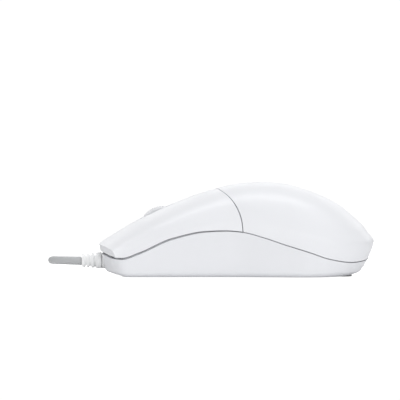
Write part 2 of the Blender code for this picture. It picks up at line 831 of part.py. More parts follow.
def cover_rows(columns):
    """Grid of the rear cover: sections from the seam to the summit, then a fan round the tail."""
    spans = np.linspace(-1, 1, 2 * columns + 1)
    rows = []
    for x in np.linspace(along(SEAM_MIDDLE) + SEAM_GAP / 2, along(SUMMIT), 8):
        row = []
        for v in spans:
            px, py, pz = section_point(x, abs(v), COVER_GAP)
            row.append((px, math.copysign(py, v) if v else 0.0, pz))
        rows.append(row)
    return rows


def make_rear_cover(material):
    columns = 12
    points, faces = grid_patch(cover_rows(columns))
    fan = [[tail_point(turn, v, COVER_GAP) for v in np.linspace(0, 1, columns + 1)]
           for turn in np.linspace(0, 1, 13)]
    fan += [[(x, -y, z) for x, y, z in row] for row in reversed(fan[:-1])]
    fan_points, fan_faces = grid_patch(fan)
    points, faces = weld(points, faces, fan_points, fan_faces)
    points, faces = thick_patch(points, faces, WALL)
    cover = add_solid("rear_cover", points, faces, material)
    join(cover, post_shape(SCREW_X, 0, SCREW_SHANK_RADIUS + BOSS_WALL, SCREW_POST_TOP + SEAT,
                           cover_roof() + 0.8, 16))
    cut(cover, post_shape(SCREW_X, 0, SCREW_SHANK_RADIUS + 0.1, SCREW_POST_TOP - 1, SCREW_POST_TOP + 12))
    return cover


def cover_roof():
    """Height of the cover's inner face over the case screw."""
    return np.interp(SCREW_X + 3, TAIL_POINTS[:60, 0], TAIL_POINTS[:60, 1]) - WALL * 1.3


def weld(points, faces, more_points, more_faces):
    """Join two patches where their points fall together."""
    known = {tuple(round(c, 3) for c in p): k for k, p in enumerate(points)}
    points = list(points)
    place = []
    for p in more_points:
        key = tuple(round(c, 3) for c in p)
        if key not in known:
            known[key] = len(points)
            points.append(p)
        place.append(known[key])
    joined = list(faces) + [tuple(place[i] for i in f) for f in more_faces]
    return points, face_alike(joined)


def face_alike(faces):
    """Turn every face of a patch to run the same way round as its neighbours."""
    edges = {}
    for n, face in enumerate(faces):
        for k in range(len(face)):
            edges.setdefault(frozenset((face[k], face[(k + 1) % len(face)])), []).append(n)
    done = {0}
    waiting = [0]
    faces = list(faces)
    while waiting:
        n = waiting.pop()
        face = faces[n]
        for k in range(len(face)):
            a, b = face[k], face[(k + 1) % len(face)]
            for other in edges[frozenset((a, b))]:
                if other in done:
                    continue
                loop = faces[other]
                same = any(loop[j] == a and loop[(j + 1) % len(loop)] == b for j in range(len(loop)))
                if same:
                    faces[other] = tuple(reversed(loop))
                done.add(other)
                waiting.append(other)
    return faces


def make_hinge_bridge(material):
    """The fixed rail that both buttons turn on, with a leg at each end."""
    reach = bridge_foot_y()
    rail = add_solid("button_hinge_bridge", *turned_shape(
        [(0, -reach), (RAIL_RADIUS, -reach), (RAIL_RADIUS, reach), (0, reach)], 20,
        (RAIL_X, 0, RAIL_Z), "Y"), material)
    for side in (-1, 1):
        y = side * reach
        join(rail, post_shape(RAIL_X, y, LEG_RADIUS, LEG_SHOULDER_Z + SEAT, RAIL_Z + 0.8))
        join(rail, post_shape(RAIL_X, y, LEG_PIN_RADIUS, FLOOR_TOP + 3, LEG_SHOULDER_Z + 1))
    return rail


# ---------------------------------------------------------------- wheel and its carrier

def make_wheel(hub_material, tyre_material, spin):
    """Hub with a slotted disc and axle, and the tyre round it, both turning about Y."""
    half = WHEEL_WIDTH / 2
    centre = (WHEEL_X, 0, WHEEL_CENTRE_Z)
    inner = WHEEL_RADIUS - TYRE_THICKNESS
    rim = inner - SEAT
    hub_profile = [(0, -AXLE_HALF), (AXLE_RADIUS, -AXLE_HALF), (AXLE_RADIUS, -half), (2.6, -half),
                   (2.6, -1.0), (rim - 1.4, -1.0), (rim - 1.4, -half + 0.4), (rim, -half + 0.4),
                   (rim, half - 0.4), (rim - 1.4, half - 0.4), (rim - 1.4, 1.0), (2.6, 1.0),
                   (2.6, half), (AXLE_RADIUS, half), (AXLE_RADIUS, AXLE_HALF), (0, AXLE_HALF)]
    hub = add_solid("wheel_hub", *turned_shape(hub_profile, 24, centre, "Y"), hub_material, centre)
    middle = (2.6 + rim - 1.4) / 2
    for k in range(ENCODER_SLOTS):
        angle = 2 * math.pi * k / ENCODER_SLOTS
        x = WHEEL_X + middle * math.cos(angle)
        z = WHEEL_CENTRE_Z + middle * math.sin(angle)
        corners = []
        for along_r, across in ((-1.2, -0.45), (1.2, -0.45), (1.2, 0.45), (-1.2, 0.45)):
            corners.append((x + along_r * math.cos(angle) - across * math.sin(angle),
                            z + along_r * math.sin(angle) + across * math.cos(angle)))
        cut(hub, side_prism_shape(corners, -2, 2))
    tyre_profile = [(inner, -half), (WHEEL_RADIUS - 0.9, -half), (WHEEL_RADIUS - 0.2, -half + 0.9),
                    (WHEEL_RADIUS, -half + 2.2), (WHEEL_RADIUS, half - 2.2), (WHEEL_RADIUS - 0.2, half - 0.9),
                    (WHEEL_RADIUS - 0.9, half), (inner, half)]
    tyre = add_solid("wheel_tyre", *turned_shape(tyre_profile, 48, centre, "Y"), tyre_material, centre)
    give_parent(hub, spin)
    give_parent(tyre, spin)


def make_wheel_carrier(material, press):
    """Fork that holds the axle ends and tips about stub pins in the base's ears."""
    bar_reach = CARRIER_ARM_IN + 0.5
    bar = box_shape((PIVOT_X - BAR_HALF_LENGTH, -bar_reach, PIVOT_Z - BAR_HALF_HEIGHT),
                    (PIVOT_X + BAR_HALF_LENGTH, bar_reach, PIVOT_Z + BAR_HALF_HEIGHT))
    carrier = add_solid("wheel_carrier", *bar, material, (PIVOT_X, 0, PIVOT_Z), smooth=False)
    stub = CARRIER_ARM_OUT + 1.9
    for side in (-1, 1):
        low, high = sorted((side * CARRIER_ARM_IN, side * CARRIER_ARM_OUT))
        arm = [(PIVOT_X - 2.5, PIVOT_Z - 2.0), (PIVOT_X + 2.5, PIVOT_Z - 2.0),
               (WHEEL_X - 2.0, WHEEL_CENTRE_Z - 2.9), (WHEEL_X + 2.9, WHEEL_CENTRE_Z - 2.9),
               (WHEEL_X + 2.9, WHEEL_CENTRE_Z + 2.2), (WHEEL_X - 2.9, WHEEL_CENTRE_Z + 2.2),
               (PIVOT_X + 1.0, PIVOT_Z + 2.0), (PIVOT_X - 2.5, PIVOT_Z + 2.0)]
        join(carrier, side_prism_shape(arm, low, high))
        low, high = sorted((side * (CARRIER_ARM_IN + 0.8), side * stub))
        join(carrier, turned_shape([(0, low), (AXLE_RADIUS, low), (AXLE_RADIUS, high), (0, high)], 16,
                                   (PIVOT_X, 0, PIVOT_Z), "Y"))
    join(carrier, box_shape((WHEEL_X - 1.8, CARRIER_ARM_OUT - 0.7, PLUNGER_TOP + SEAT),
                            (WHEEL_X + 1.8, WHEEL_SWITCH_Y + 1.6, WHEEL_CENTRE_Z + 1.8)))
    bore = AXLE_RADIUS + AXLE_CLEARANCE
    reach = AXLE_HALF + SEAT
    cut(carrier, turned_shape([(0, -reach), (bore, -reach), (bore, reach), (0, reach)], 16,
                              (WHEEL_X, 0, WHEEL_CENTRE_Z), "Y"))
    give_parent(carrier, press)
    return carrier


def strip_outline(path, thickness):
    """Outline of a bent strip: both sides of a path in X and Z."""
    path = np.array(path, float)
    step = np.gradient(path, axis=0)
    side = np.stack([-step[:, 1], step[:, 0]], axis=1)
    side *= thickness / 2 / np.linalg.norm(side, axis=1)[:, None]
    return [tuple(p) for p in path + side] + [tuple(p) for p in (path - side)[::-1]]


def make_detent_spring(material, press):
    """Leaf from the carrier's cross bar that bends under the wheel and leans on the tread."""
    bar_face = PIVOT_X + BAR_HALF_LENGTH + SEAT + LEAF_THICKNESS / 2
    reach = WHEEL_RADIUS + SEAT + LEAF_THICKNESS / 2
    path = [(bar_face, PIVOT_Z + 1.2), (bar_face, PIVOT_Z - 0.6), (bar_face + 0.3, PIVOT_Z - 1.8),
            (bar_face + 1.3, PIVOT_Z - 2.9), (bar_face + 2.9, PIVOT_Z - 3.9)]
    for degrees in (238, 247, 256):
        angle = math.radians(degrees)
        path.append((WHEEL_X + reach * math.cos(angle), WHEEL_CENTRE_Z + reach * math.sin(angle)))
    path.append((path[-1][0] + 1.4, path[-1][1] - 0.9))
    leaf = side_prism_shape(strip_outline(path, LEAF_THICKNESS), -LEAF_HALF_WIDTH, LEAF_HALF_WIDTH)
    item = add_solid("detent_spring", *leaf, material, (PIVOT_X, 0, PIVOT_Z), smooth=False)
    give_parent(item, press)


# ---------------------------------------------------------------- board and electronics

def make_main_board(material):
    notch_half = CARRIER_ARM_OUT + 0.9
    notch_end = WHEEL_X + BOARD_NOTCH_SHARE * WHEEL_RADIUS
    outline = [(BOARD_FRONT, -BOARD_HALF_WIDTH), (along(0.10), -BOARD_HALF_WIDTH), (along(0.20), -15),
               (BOARD_REAR, -15), (BOARD_REAR, 15), (along(0.20), 15), (along(0.10), BOARD_HALF_WIDTH),
               (BOARD_FRONT, BOARD_HALF_WIDTH), (BOARD_FRONT, notch_half), (notch_end, notch_half),
               (notch_end, -notch_half), (BOARD_FRONT, -notch_half)]
    board = add_solid("main_board", *prism_shape(outline, BOARD_Z, BOARD_TOP), material, smooth=False)
    for x, y in board_screw_places():
        cut(board, post_shape(x, y, SCREW_SHANK_RADIUS + SEAT, BOARD_Z - 1, BOARD_TOP + 1))
    cut(board, prism_shape(rounded_outline(3.5, 2.5, 1), BOARD_Z - 1, BOARD_TOP + 1))
    for side in (-1, 1):
        cut(board, post_shape(RAIL_X, side * bridge_foot_y(), 3.4, BOARD_Z - 1, BOARD_TOP + 1))
    return board


def make_switch(name, x, y, size, plunger_shift, body_material, plunger_material, plunger_parent):
    """Snap switch with a sprung plunger in a pocket, which stands plunger_shift ahead of the middle."""
    half = (size[0] / 2, size[1] / 2)
    centre = (x + plunger_shift, y)
    block = box_shape((centre[0] - half[0], centre[1] - half[1], SWITCH_BASE),
                      (centre[0] + half[0], centre[1] + half[1], SWITCH_TOP))
    body = add_solid(f"{name}_switch_body", *block, body_material, smooth=False)
    plunger = (PLUNGER_SIZE[0] / 2, PLUNGER_SIZE[1] / 2)
    gap = PLUNGER_CLEARANCE
    cut(body, box_shape((x - plunger[0] - gap, y - plunger[1] - gap, SWITCH_TOP - 3.0),
                        (x + plunger[0] + gap, y + plunger[1] + gap, SWITCH_TOP + 1)))
    pin = box_shape((x - plunger[0], y - plunger[1], SWITCH_TOP - 2.0),
                    (x + plunger[0], y + plunger[1], PLUNGER_TOP))
    moving = add_solid(f"{name}_switch_plunger", *pin, plunger_material, (x, y, PLUNGER_TOP), smooth=False)
    give_parent(moving, plunger_parent)


def make_encoder(emitter_material, receiver_material):
    """Light gate that looks through the hub's slots, one half on each side of the carrier."""
    near = CARRIER_ARM_OUT + 1.4
    top = WHEEL_CENTRE_Z - 2.0
    emitter_x = WHEEL_X + 1.8
    receiver_x = WHEEL_X + WHEEL_SWITCH_SIZE[0] / 2 + SEAT
    add_solid("encoder_emitter", *box_shape((emitter_x, -near - 2.4, SWITCH_BASE),
                                            (emitter_x + 3.6, -near, top)), emitter_material, smooth=False)
    add_solid("encoder_receiver", *box_shape((receiver_x, near, SWITCH_BASE),
                                             (receiver_x + 3.0, near + 2.4, top)),
              receiver_material, smooth=False)


def make_sensor(chip_material, lens_material, led_material, clip_material):
    add_solid("sensor_chip", *box_shape((-6, -4.5, BOARD_TOP + SEAT), (6, 4.5, BOARD_TOP + SEAT + 2.8)),
              chip_material, smooth=False)
    half = (LENS_SIZE[0] / 2, LENS_SIZE[1] / 2)
    lens = add_solid("sensor_lens", *prism_shape(rounded_outline(half[0], half[1], 1.5),
                                                 FLOOR_TOP + SEAT, BOARD_Z - SEAT), lens_material)
    cut(lens, box_shape((3.4, -2.4, FLOOR_TOP), (half[0] + 1, 2.4, FLOOR_TOP + 1.8)))
    centre = (11.0, 0, BOARD_TOP + SEAT + LED_RADIUS + 0.5)
    profile = [(0, 0), (LED_RADIUS, 0), (LED_RADIUS, 4.6)]
    profile += [(LED_RADIUS * math.cos(a), 4.6 + LED_RADIUS * 0.8 * math.sin(a))
                for a in np.linspace(0, math.pi / 2, 5)[1:-1]]
    profile.append((0, 4.6 + LED_RADIUS * 0.8))
    profile = [(r, -d) for r, d in profile]
    add_solid("sensor_led", *turned_shape(profile, 16, (centre[0] + 4.6, 0, centre[2]), "X"), led_material)
    clip = add_solid("led_clip", *box_shape((8.4, -4.2, BOARD_TOP + SEAT),
                                            (17.2, 4.2, centre[2] + LED_RADIUS + 1.6)),
                     clip_material, smooth=False)
    bore = LED_RADIUS + SEAT
    cut(clip, turned_shape([(0, -10), (bore, -10), (bore, 10), (0, 10)], 16, (13, 0, centre[2]), "X"))
    cut(clip, box_shape((5, -bore, BOARD_TOP), (20, bore, centre[2])))


def make_capacitor(material):
    low = BOARD_TOP + SEAT
    profile = [(0, low), (2.4, low), (2.5, low + 0.3), (2.5, low + 6.6), (2.2, low + 7), (0, low + 7)]
    add_solid("capacitor", *turned_shape(profile, 16, (along(0.42), -8, 0), "Z"), material)


def make_board_screws(material):
    for number, (x, y) in enumerate(board_screw_places(), 1):
        make_screw(f"board_screw_{number}", x, y, BOARD_TOP + SEAT, 1, BOARD_SCREW_SHANK, material, 2.4)


def make_screw(name, x, y, seat, way, shank, material, head_radius):
    """Pan-head screw with a cross recess; way 1 has its head up, -1 has it down."""
    head = SCREW_HEAD_HEIGHT
    profile = [(0, -shank), (SCREW_SHANK_RADIUS - 0.4, -shank), (SCREW_SHANK_RADIUS - 0.15, -shank + 1.2),
               (SCREW_SHANK_RADIUS - 0.15, 0), (head_radius, 0), (head_radius, head * 0.5),
               (head_radius * 0.75, head * 0.9), (0, head)]
    profile = [(r, way * d) for r, d in profile]
    screw = add_solid(name, *turned_shape(profile, 16, (x, y, seat), "Z"), material)
    top = seat + way * head
    low, high = sorted((top - way * 0.9, top + way * 0.5))
    cut(screw, box_shape((x - 1.5, y - 0.3, low), (x + 1.5, y + 0.3, high)))
    cut(screw, box_shape((x - 0.3, y - 1.5, low), (x + 0.3, y + 1.5, high)))


SOCKET_X = along(-0.25)
SOCKET_Y = 9.5


def make_connector(socket_material, plug_material):
    low = BOARD_TOP + SEAT
    socket = add_solid("board_socket", *box_shape((SOCKET_X, SOCKET_Y - 4, low),
                                                  (SOCKET_X + 6, SOCKET_Y + 4, low + 5.5)),
                       socket_material, smooth=False)
    cut(socket, box_shape((SOCKET_X - 1, SOCKET_Y - 3.2, low + 1), (SOCKET_X + 4, SOCKET_Y + 3.2, low + 4.7)))
    add_solid("lead_plug", *box_shape((SOCKET_X - 2, SOCKET_Y - 2.9, low + 1.3),
                                      (SOCKET_X + 3.7, SOCKET_Y + 2.9, low + 4.4)),
              plug_material, smooth=False)


def make_inner_leads(materials):
    """Four insulated wires, bundled two by two, from the cord's inner end to the plug on the board."""
    end_x = SOCKET_X - 2 - SEAT
    end_z = BOARD_TOP + SEAT + 2.85
    beside = SWITCH_Y + SWITCH_SIZE[1] / 2 + 2.3
    above = BOARD_TOP + 3.3
    front_x = PIVOT_X - 4.6
    start_x = BOOT_INNER_X + SEAT
    route = [(start_x, 0, CORD_Z), (start_x + 0.9, 0, CORD_Z), (front_x - 0.3, 1.4, CORD_Z),
             (front_x, 5.0, 6.6), (front_x + 0.2, 9.0, 8.0), (BOARD_FRONT - 3.5, beside - 3.0, above - 1.0),
             (SWITCH_X - 5, beside, above), (SWITCH_X + 5, beside, above), (end_x - 4.6, SOCKET_Y + 6.5, above),
             (end_x - 2.6, SOCKET_Y + 0.6, end_z), (end_x, SOCKET_Y, end_z)]
    middle = smooth_path(route, 26)
    headings = np.gradient(middle, axis=0)
    names = ("inner_lead_white", "inner_lead_green", "inner_lead_red", "inner_lead_black")
    half = LEAD_PITCH / 2
    bundled = ((-half, -half), (-half, half), (half, -half), (half, half))
    for k, (name, material) in enumerate(zip(names, materials)):
        path = []
        for n, place in enumerate(middle):
            heading = headings[max(n - 2, 0):n + 3].mean(axis=0)
            spread = np.clip((n - 18) / 5, 0, 1)
            aside = (1 - spread) * bundled[k][0] + spread * (k - 1.5) * LEAD_PITCH
            raised = (1 - spread) * bundled[k][1]
            if n in (0, len(middle) - 1):
                heading = (1, 0, 0)
            normal = np.array((-heading[1], heading[0], 0)) / math.hypot(heading[0], heading[1])
            path.append(place + normal * aside + np.array((0, 0, raised)))
        add_tube(name, path, LEAD_RADIUS, material, 1)


# ---------------------------------------------------------------- cord and plug

def make_strain_relief(material):
    """Ribbed boot on the cord, with a flange in the base's wall and a block behind it."""
    tip = BOOT_TIP_X
    ribs = [(0.0, 1.5, 2.85), (2.1, 3.2, 3.0), (3.9, 5.2, 3.2), (5.9, 8.4, 3.45)]
    profile = [(0, 0)]
    for start, end, radius in ribs:
        profile += [(radius - 0.7, start - 0.05) if start else (radius - 0.3, 0.0), (radius, start + 0.2),
                    (radius, end - 0.2), (radius - 0.6, end)]
    flange = 8.5
    profile += [(3.7, flange), (3.7, BOOT_INNER_X - 2.0 - tip), (3.0, BOOT_INNER_X - 2.0 - tip),
                (3.0, BOOT_INNER_X - tip - 0.4), (0, BOOT_INNER_X - tip - 0.4)]
    boot = add_solid("strain_relief", *turned_shape(profile, 20, (tip, 0, CORD_Z), "X"), material)
    top = parting(along(NOSE) + 1.0) + 0.1
    cut(boot, box_shape((tip + flange - 0.3, -6, top), (BOOT_INNER_X + 1, 6, top + 6)))
    join(boot, box_shape((BOOT_INNER_X - 2.0, -5.4, CORD_Z - 2.9), (BOOT_INNER_X, 5.4, top - 0.2)))
    return boot


# Through the cord's middle line: X from the boot's tip, then X from the plug, with Y and Z of the mouse
CORD_ROUTE = (
    (0.0, 0.0, 6.2), (-3.0, 0.1, 6.2), (-7.0, 1.2, 6.2), (-11.0, 4.4, 6.1), (-12.6, 9.0, 5.9),
    (-11.0, 13.6, 5.6), (-6.0, 17.8, 5.2), (2.0, 22.5, 4.6), (8.5, 28.5, 3.2), (12.0, 36.0, 2.2),
    (13.6, 48.0, 1.9), (14.0, 63.0, 1.9),
)
TAIL_ROUTE = (
    (-14.8, 63.0, 5.2), (-14.0, 55.5, 4.4), (-10.8, 49.4, 3.8), (-6.0, 46.8, 3.8), (0.0, 46.5, 4.0),
)


def make_cord(cord_material, coil_material):
    start = BOOT_TIP_X - SEAT
    route = [(start + x, y, z) for x, y, z in CORD_ROUTE]
    add_tube("cord", smooth_path(route, 20), CORD_RADIUS, cord_material, 2)
    inner = COIL_MIDDLE_RADIUS - COIL_HALF_WIDTH
    outer = COIL_MIDDLE_RADIUS + COIL_HALF_WIDTH
    low = COIL_BOTTOM
    high = COIL_BOTTOM + COIL_HEIGHT
    profile = [(inner, low + 2), (inner + 2, low), (outer - 2, low), (outer, low + 2), (outer, high - 2),
               (outer - 2, high), (inner + 2, high), (inner, high - 2)]
    add_solid("cord_coil", *turned_shape(profile, 40, (*COIL_CENTRE, 0), "Z"), coil_material)
    tail = [(PLUG_START[0] - SEAT + x, y, z) for x, y, z in TAIL_ROUTE]
    add_tube("cord_tail", smooth_path(tail, 9), CORD_RADIUS, cord_material, 2)


def make_cable_tie(material):
    """Closed band round the coil's far side."""
    inner_edge = COIL_MIDDLE_RADIUS - COIL_HALF_WIDTH
    bow = inner_edge - math.sqrt(inner_edge ** 2 - TIE_HALF_WIDTH ** 2)
    near = COIL_CENTRE[1] + inner_edge - bow - SEAT
    far = COIL_CENTRE[1] + COIL_MIDDLE_RADIUS + COIL_HALF_WIDTH + SEAT
    middle = ((near + far) / 2, COIL_BOTTOM + COIL_HEIGHT / 2)
    half = ((far - near) / 2, COIL_HEIGHT / 2 + SEAT)
    band = [rounded_outline(half[0] + wall, half[1] + wall, TIE_CORNER + wall, middle, 3)
            for wall in (TIE_THICKNESS, 0)]
    points = [(COIL_CENTRE[0] + x, y, z) for x in (-TIE_HALF_WIDTH, TIE_HALF_WIDTH)
              for ring in band for y, z in ring]
    count = len(band[0])
    faces = []
    for k in range(count):
        n = (k + 1) % count
        low_outer, low_inner, high_outer, high_inner = (
            (k + ring * count, n + ring * count) for ring in range(4))
        for first, second in ((low_outer, low_inner), (high_inner, high_outer),
                              (low_inner, high_inner), (high_outer, low_outer)):
            faces.append((first[0], first[1], second[1], second[0]))
    add_solid("cable_tie", points, faces, material)


def make_plug(overmould_material, shell_material, tongue_material, contact_material):
    x, y = PLUG_START
    length, width, height = OVERMOULD_SIZE
    z = height / 2
    overmould = add_solid("usb_overmould", *box_shape((x, y - width / 2, 0),
                                                      (x + length, y + width / 2, height)),
                          overmould_material)
    bevel(overmould, 1.6, 2)
    long, wide, thick = USB_SHELL_SIZE
    low = x + length + SEAT
    wall = USB_SHELL_WALL
    shell = add_solid("usb_shell", *box_shape((low, y - wide / 2, z - thick / 2),
                                              (low + long, y + wide / 2, z + thick / 2)),
                      shell_material, smooth=False)
    cut(shell, box_shape((low + 0.8, y - wide / 2 + wall, z - thick / 2 + wall),
                         (low + long + 1, y + wide / 2 - wall, z + thick / 2 - wall)))
    roof = z + thick / 2 - wall - SEAT
    add_solid("usb_tongue", *box_shape((low + 0.8 + SEAT, y - wide / 2 + wall + SEAT, roof - 1.8),
                                       (low + long - 0.6, y + wide / 2 - wall - SEAT, roof)), tongue_material,
              smooth=False)
    for number, shift in enumerate((-3.5, -1.0, 1.0, 3.5), 1):
        add_solid(f"usb_contact_{number}", *box_shape((low + 1.6, y + shift - 0.5, roof - 1.8 - SEAT - 0.25),
                                                      (low + long - 1.4, y + shift + 0.5, roof - 1.8 - SEAT)),
                  contact_material, smooth=False)


# ---------------------------------------------------------------- assembly

def make_materials():
    return {
        "top": make_material("top_plastic", (0.86, 0.87, 0.90), 0.38),
        "base": make_material("base_plastic", (0.74, 0.75, 0.78), 0.42),
        "white": make_material("white_plastic", (0.82, 0.82, 0.82), 0.5),
        "bridge": make_material("bridge_plastic", (0.60, 0.61, 0.63), 0.5),
        "tyre": make_material("tyre_rubber", (0.62, 0.63, 0.65), 0.7),
        "hub": make_material("hub_plastic", (0.72, 0.73, 0.75), 0.45),
        "foot": make_material("foot_slip_sheet", (0.10, 0.10, 0.11), 0.5),
        "label": make_material("label_paper", (0.78, 0.78, 0.76), 0.6),
        "board": make_material("board_laminate", (0.03, 0.20, 0.09), 0.45),
        "black": make_material("black_plastic", (0.03, 0.03, 0.035), 0.5),
        "red": make_material("red_plastic", (0.55, 0.04, 0.03), 0.45),
        "lens": make_material("clear_plastic", (0.85, 0.9, 0.92), 0.08, alpha=0.5),
        "led": make_material("led_resin", (0.75, 0.10, 0.08), 0.12),
        "steel": make_material("plated_steel", (0.62, 0.62, 0.63), 0.3, 1.0),
        "gold": make_material("plated_contact", (0.83, 0.66, 0.32), 0.28, 1.0),
        "foil": make_material("capacitor_sleeve", (0.07, 0.09, 0.16), 0.4),
        "boot": make_material("boot_vinyl", (0.80, 0.81, 0.83), 0.55),
        "cord": make_material("cord_vinyl", (0.52, 0.53, 0.55), 0.5),
        "lead_white": make_material("lead_white", (0.80, 0.80, 0.78), 0.5),
        "lead_green": make_material("lead_green", (0.05, 0.35, 0.10), 0.5),
        "lead_red": make_material("lead_red", (0.60, 0.04, 0.04), 0.5),
        "lead_black": make_material("lead_black", (0.03, 0.03, 0.03), 0.5),
    }


def main():
    clean_scene()
    use = make_materials()
    chassis = add_empty("chassis_frame", (0, 0, 0))
    left_pivot = add_empty("left_button_pivot", (RAIL_X, 0, RAIL_Z))
    right_pivot = add_empty("right_button_pivot", (RAIL_X, 0, RAIL_Z))
    press = add_empty("wheel_press_pivot", (PIVOT_X, 0, PIVOT_Z))
    spin = add_empty("wheel_spin_axis", (WHEEL_X, 0, WHEEL_CENTRE_Z))
    give_parent(spin, press)
    make_base_shell(use["base"])
    make_rear_cover(use["top"])
    make_button("left_button", -1, use["top"], left_pivot)
    make_button("right_button", 1, use["top"], right_pivot)
    make_hinge_bridge(use["bridge"])
    make_feet(use["foot"])
    make_label(use["label"])
    make_wheel(use["hub"], use["tyre"], spin)
    make_wheel_carrier(use["white"], press)
    make_detent_spring(use["steel"], press)
    make_main_board(use["board"])
    for name, y in (("left", -SWITCH_Y), ("right", SWITCH_Y)):
        make_switch(name, PLUNGER_X, y, SWITCH_SIZE, PLUNGER_AHEAD, use["black"], use["red"], chassis)
    make_switch("wheel", WHEEL_X, WHEEL_SWITCH_Y, WHEEL_SWITCH_SIZE, 0.0, use["black"], use["white"], chassis)
    make_encoder(use["lens"], use["black"])
    make_sensor(use["black"], use["lens"], use["led"], use["black"])
    make_capacitor(use["foil"])
    make_board_screws(use["steel"])
    make_screw("case_screw", SCREW_X, 0, screw_head_top(), -1, CASE_SCREW_SHANK, use["steel"],
               SCREW_HEAD_RADIUS)
    make_connector(use["white"], use["white"])
    make_inner_leads([use["lead_white"], use["lead_green"], use["lead_red"], use["lead_black"]])
    make_strain_relief(use["boot"])
    make_cord(use["cord"], use["cord"])
    make_cable_tie(use["white"])
    make_plug(use["boot"], use["steel"], use["white"], use["gold"])


main()
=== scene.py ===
# %% [markdown]
# # A wired computer mouse
# This lesson dresses the moving model of a wired mouse. The moving model already holds every piece at its
# true place, so each step here makes one piece or one finish look like the real thing and lets it ride on
# its moving body. All sizes of the mouse are in millimetres, as on a maker's drawing, and MM turns them
# into Blender's metres.

# %% The frame and the units
import json
import math

import bmesh
import bpy
import numpy as np
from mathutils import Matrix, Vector


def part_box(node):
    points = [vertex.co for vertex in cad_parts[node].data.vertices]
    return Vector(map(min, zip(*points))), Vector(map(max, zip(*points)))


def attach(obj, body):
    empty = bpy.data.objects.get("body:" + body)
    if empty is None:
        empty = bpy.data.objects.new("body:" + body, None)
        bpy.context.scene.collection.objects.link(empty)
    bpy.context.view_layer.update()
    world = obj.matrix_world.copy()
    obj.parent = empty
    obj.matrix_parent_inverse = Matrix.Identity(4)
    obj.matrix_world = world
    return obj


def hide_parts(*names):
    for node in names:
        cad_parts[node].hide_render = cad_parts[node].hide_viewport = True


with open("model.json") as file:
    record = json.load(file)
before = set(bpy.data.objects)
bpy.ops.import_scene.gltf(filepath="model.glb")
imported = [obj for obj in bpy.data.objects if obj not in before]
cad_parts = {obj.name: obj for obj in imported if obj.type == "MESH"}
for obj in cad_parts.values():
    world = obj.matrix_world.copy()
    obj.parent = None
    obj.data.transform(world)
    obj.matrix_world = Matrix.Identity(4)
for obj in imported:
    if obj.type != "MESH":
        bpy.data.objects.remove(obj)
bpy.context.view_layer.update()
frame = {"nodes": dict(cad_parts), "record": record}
nodes = frame["nodes"]
MM = 0.001


def box_of(node):
    """Lowest and highest corner of a CAD node, in millimetres."""
    return [np.array(corner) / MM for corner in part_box(node)]


base_low, base_high = box_of("base_shell")
print("base", base_low.round(1), base_high.round(1))

# %% [markdown]
# ## Camera first
# A product picture of a mouse is taken from far away with a long lens, level with the table, so that its
# outline is true. The camera stands far off on the mouse's left and looks straight across it. Its width of
# view is set in millimetres at the mouse, which is easier to think about than a focal length.

# %% The camera
VIEW_WIDTH = 167.2
VIEW_CENTRE = (-15.2, 0.0, 31.4)
CAMERA_DISTANCE = 1500.0
CAMERA_ELEVATION = math.radians(1.6)

camera_data = bpy.data.cameras.new("camera")
camera = bpy.data.objects.new("camera", camera_data)
bpy.context.scene.collection.objects.link(camera)
towards = Vector((0, -math.cos(CAMERA_ELEVATION), math.sin(CAMERA_ELEVATION)))
camera.location = (Vector(VIEW_CENTRE) + towards * CAMERA_DISTANCE) * MM
camera.rotation_euler = (math.pi / 2 - CAMERA_ELEVATION, 0, 0)
camera_data.sensor_width = 36
camera_data.lens = 36 * CAMERA_DISTANCE / VIEW_WIDTH
camera_data.clip_start = 0.05
camera_data.clip_end = 20
bpy.context.scene.camera = camera
print("lens", round(camera_data.lens), "mm at", CAMERA_DISTANCE, "mm")

# %% [markdown]
# ## A pale table in soft light
# White plastic only shows its shape where the light around it differs. One long lamp hangs overhead and one
# stands on each side, with a darker gap between them. The shell therefore darkens a little from its back
# down over its shoulder. The table and the sky look white to the camera, as a lit paper sweep does, while
# the light they throw on the mouse is weak.

# %% The table, the lamps and the sky
WHITE_SEEN = 1.05
SKY_LIGHT = 0.5
TABLE_TONE = (0.90, 0.90, 0.90)
TABLE_HALF = 0.35
TABLE_DROP = 0.0002


def seen_strength(tree, seen, thrown):
    """A strength that is seen by the camera, and a weaker one that lights things."""
    path = tree.nodes.new("ShaderNodeLightPath")
    span = tree.nodes.new("ShaderNodeMapRange")
    span.inputs["To Min"].default_value = thrown
    span.inputs["To Max"].default_value = seen
    tree.links.new(path.outputs["Is Camera Ray"], span.inputs["Value"])
    return span.outputs["Result"]


def add_table(half, z):
    data = bpy.data.meshes.new("table_top")
    corners = [(-half, -half, z), (half, -half, z), (half, half, z), (-half, half, z)]
    data.from_pydata(corners, [], [(0, 1, 2, 3)])
    plane = bpy.data.objects.new("table_top", data)
    bpy.context.scene.collection.objects.link(plane)
    finish = bpy.data.materials.new("table_top")
    finish.use_nodes = True
    shader = finish.node_tree.nodes["Principled BSDF"]
    shader.inputs["Base Color"].default_value = (*TABLE_TONE, 1)
    shader.inputs["Roughness"].default_value = 0.9
    shader.inputs["Emission Color"].default_value = (1, 1, 1, 1)
    strength = seen_strength(finish.node_tree, WHITE_SEEN, 0.0)
    finish.node_tree.links.new(strength, shader.inputs["Emission Strength"])
    data.materials.append(finish)
    return plane


def add_lamp(name, place, aim, size, power):
    data = bpy.data.lights.new(name, "AREA")
    data.shape = "RECTANGLE"
    data.size, data.size_y = size
    data.energy = power
    lamp = bpy.data.objects.new(name, data)
    lamp.location = place
    lamp.rotation_euler = (Vector(aim) - Vector(place)).to_track_quat("-Z", "Y").to_euler()
    bpy.context.scene.collection.objects.link(lamp)
    return lamp


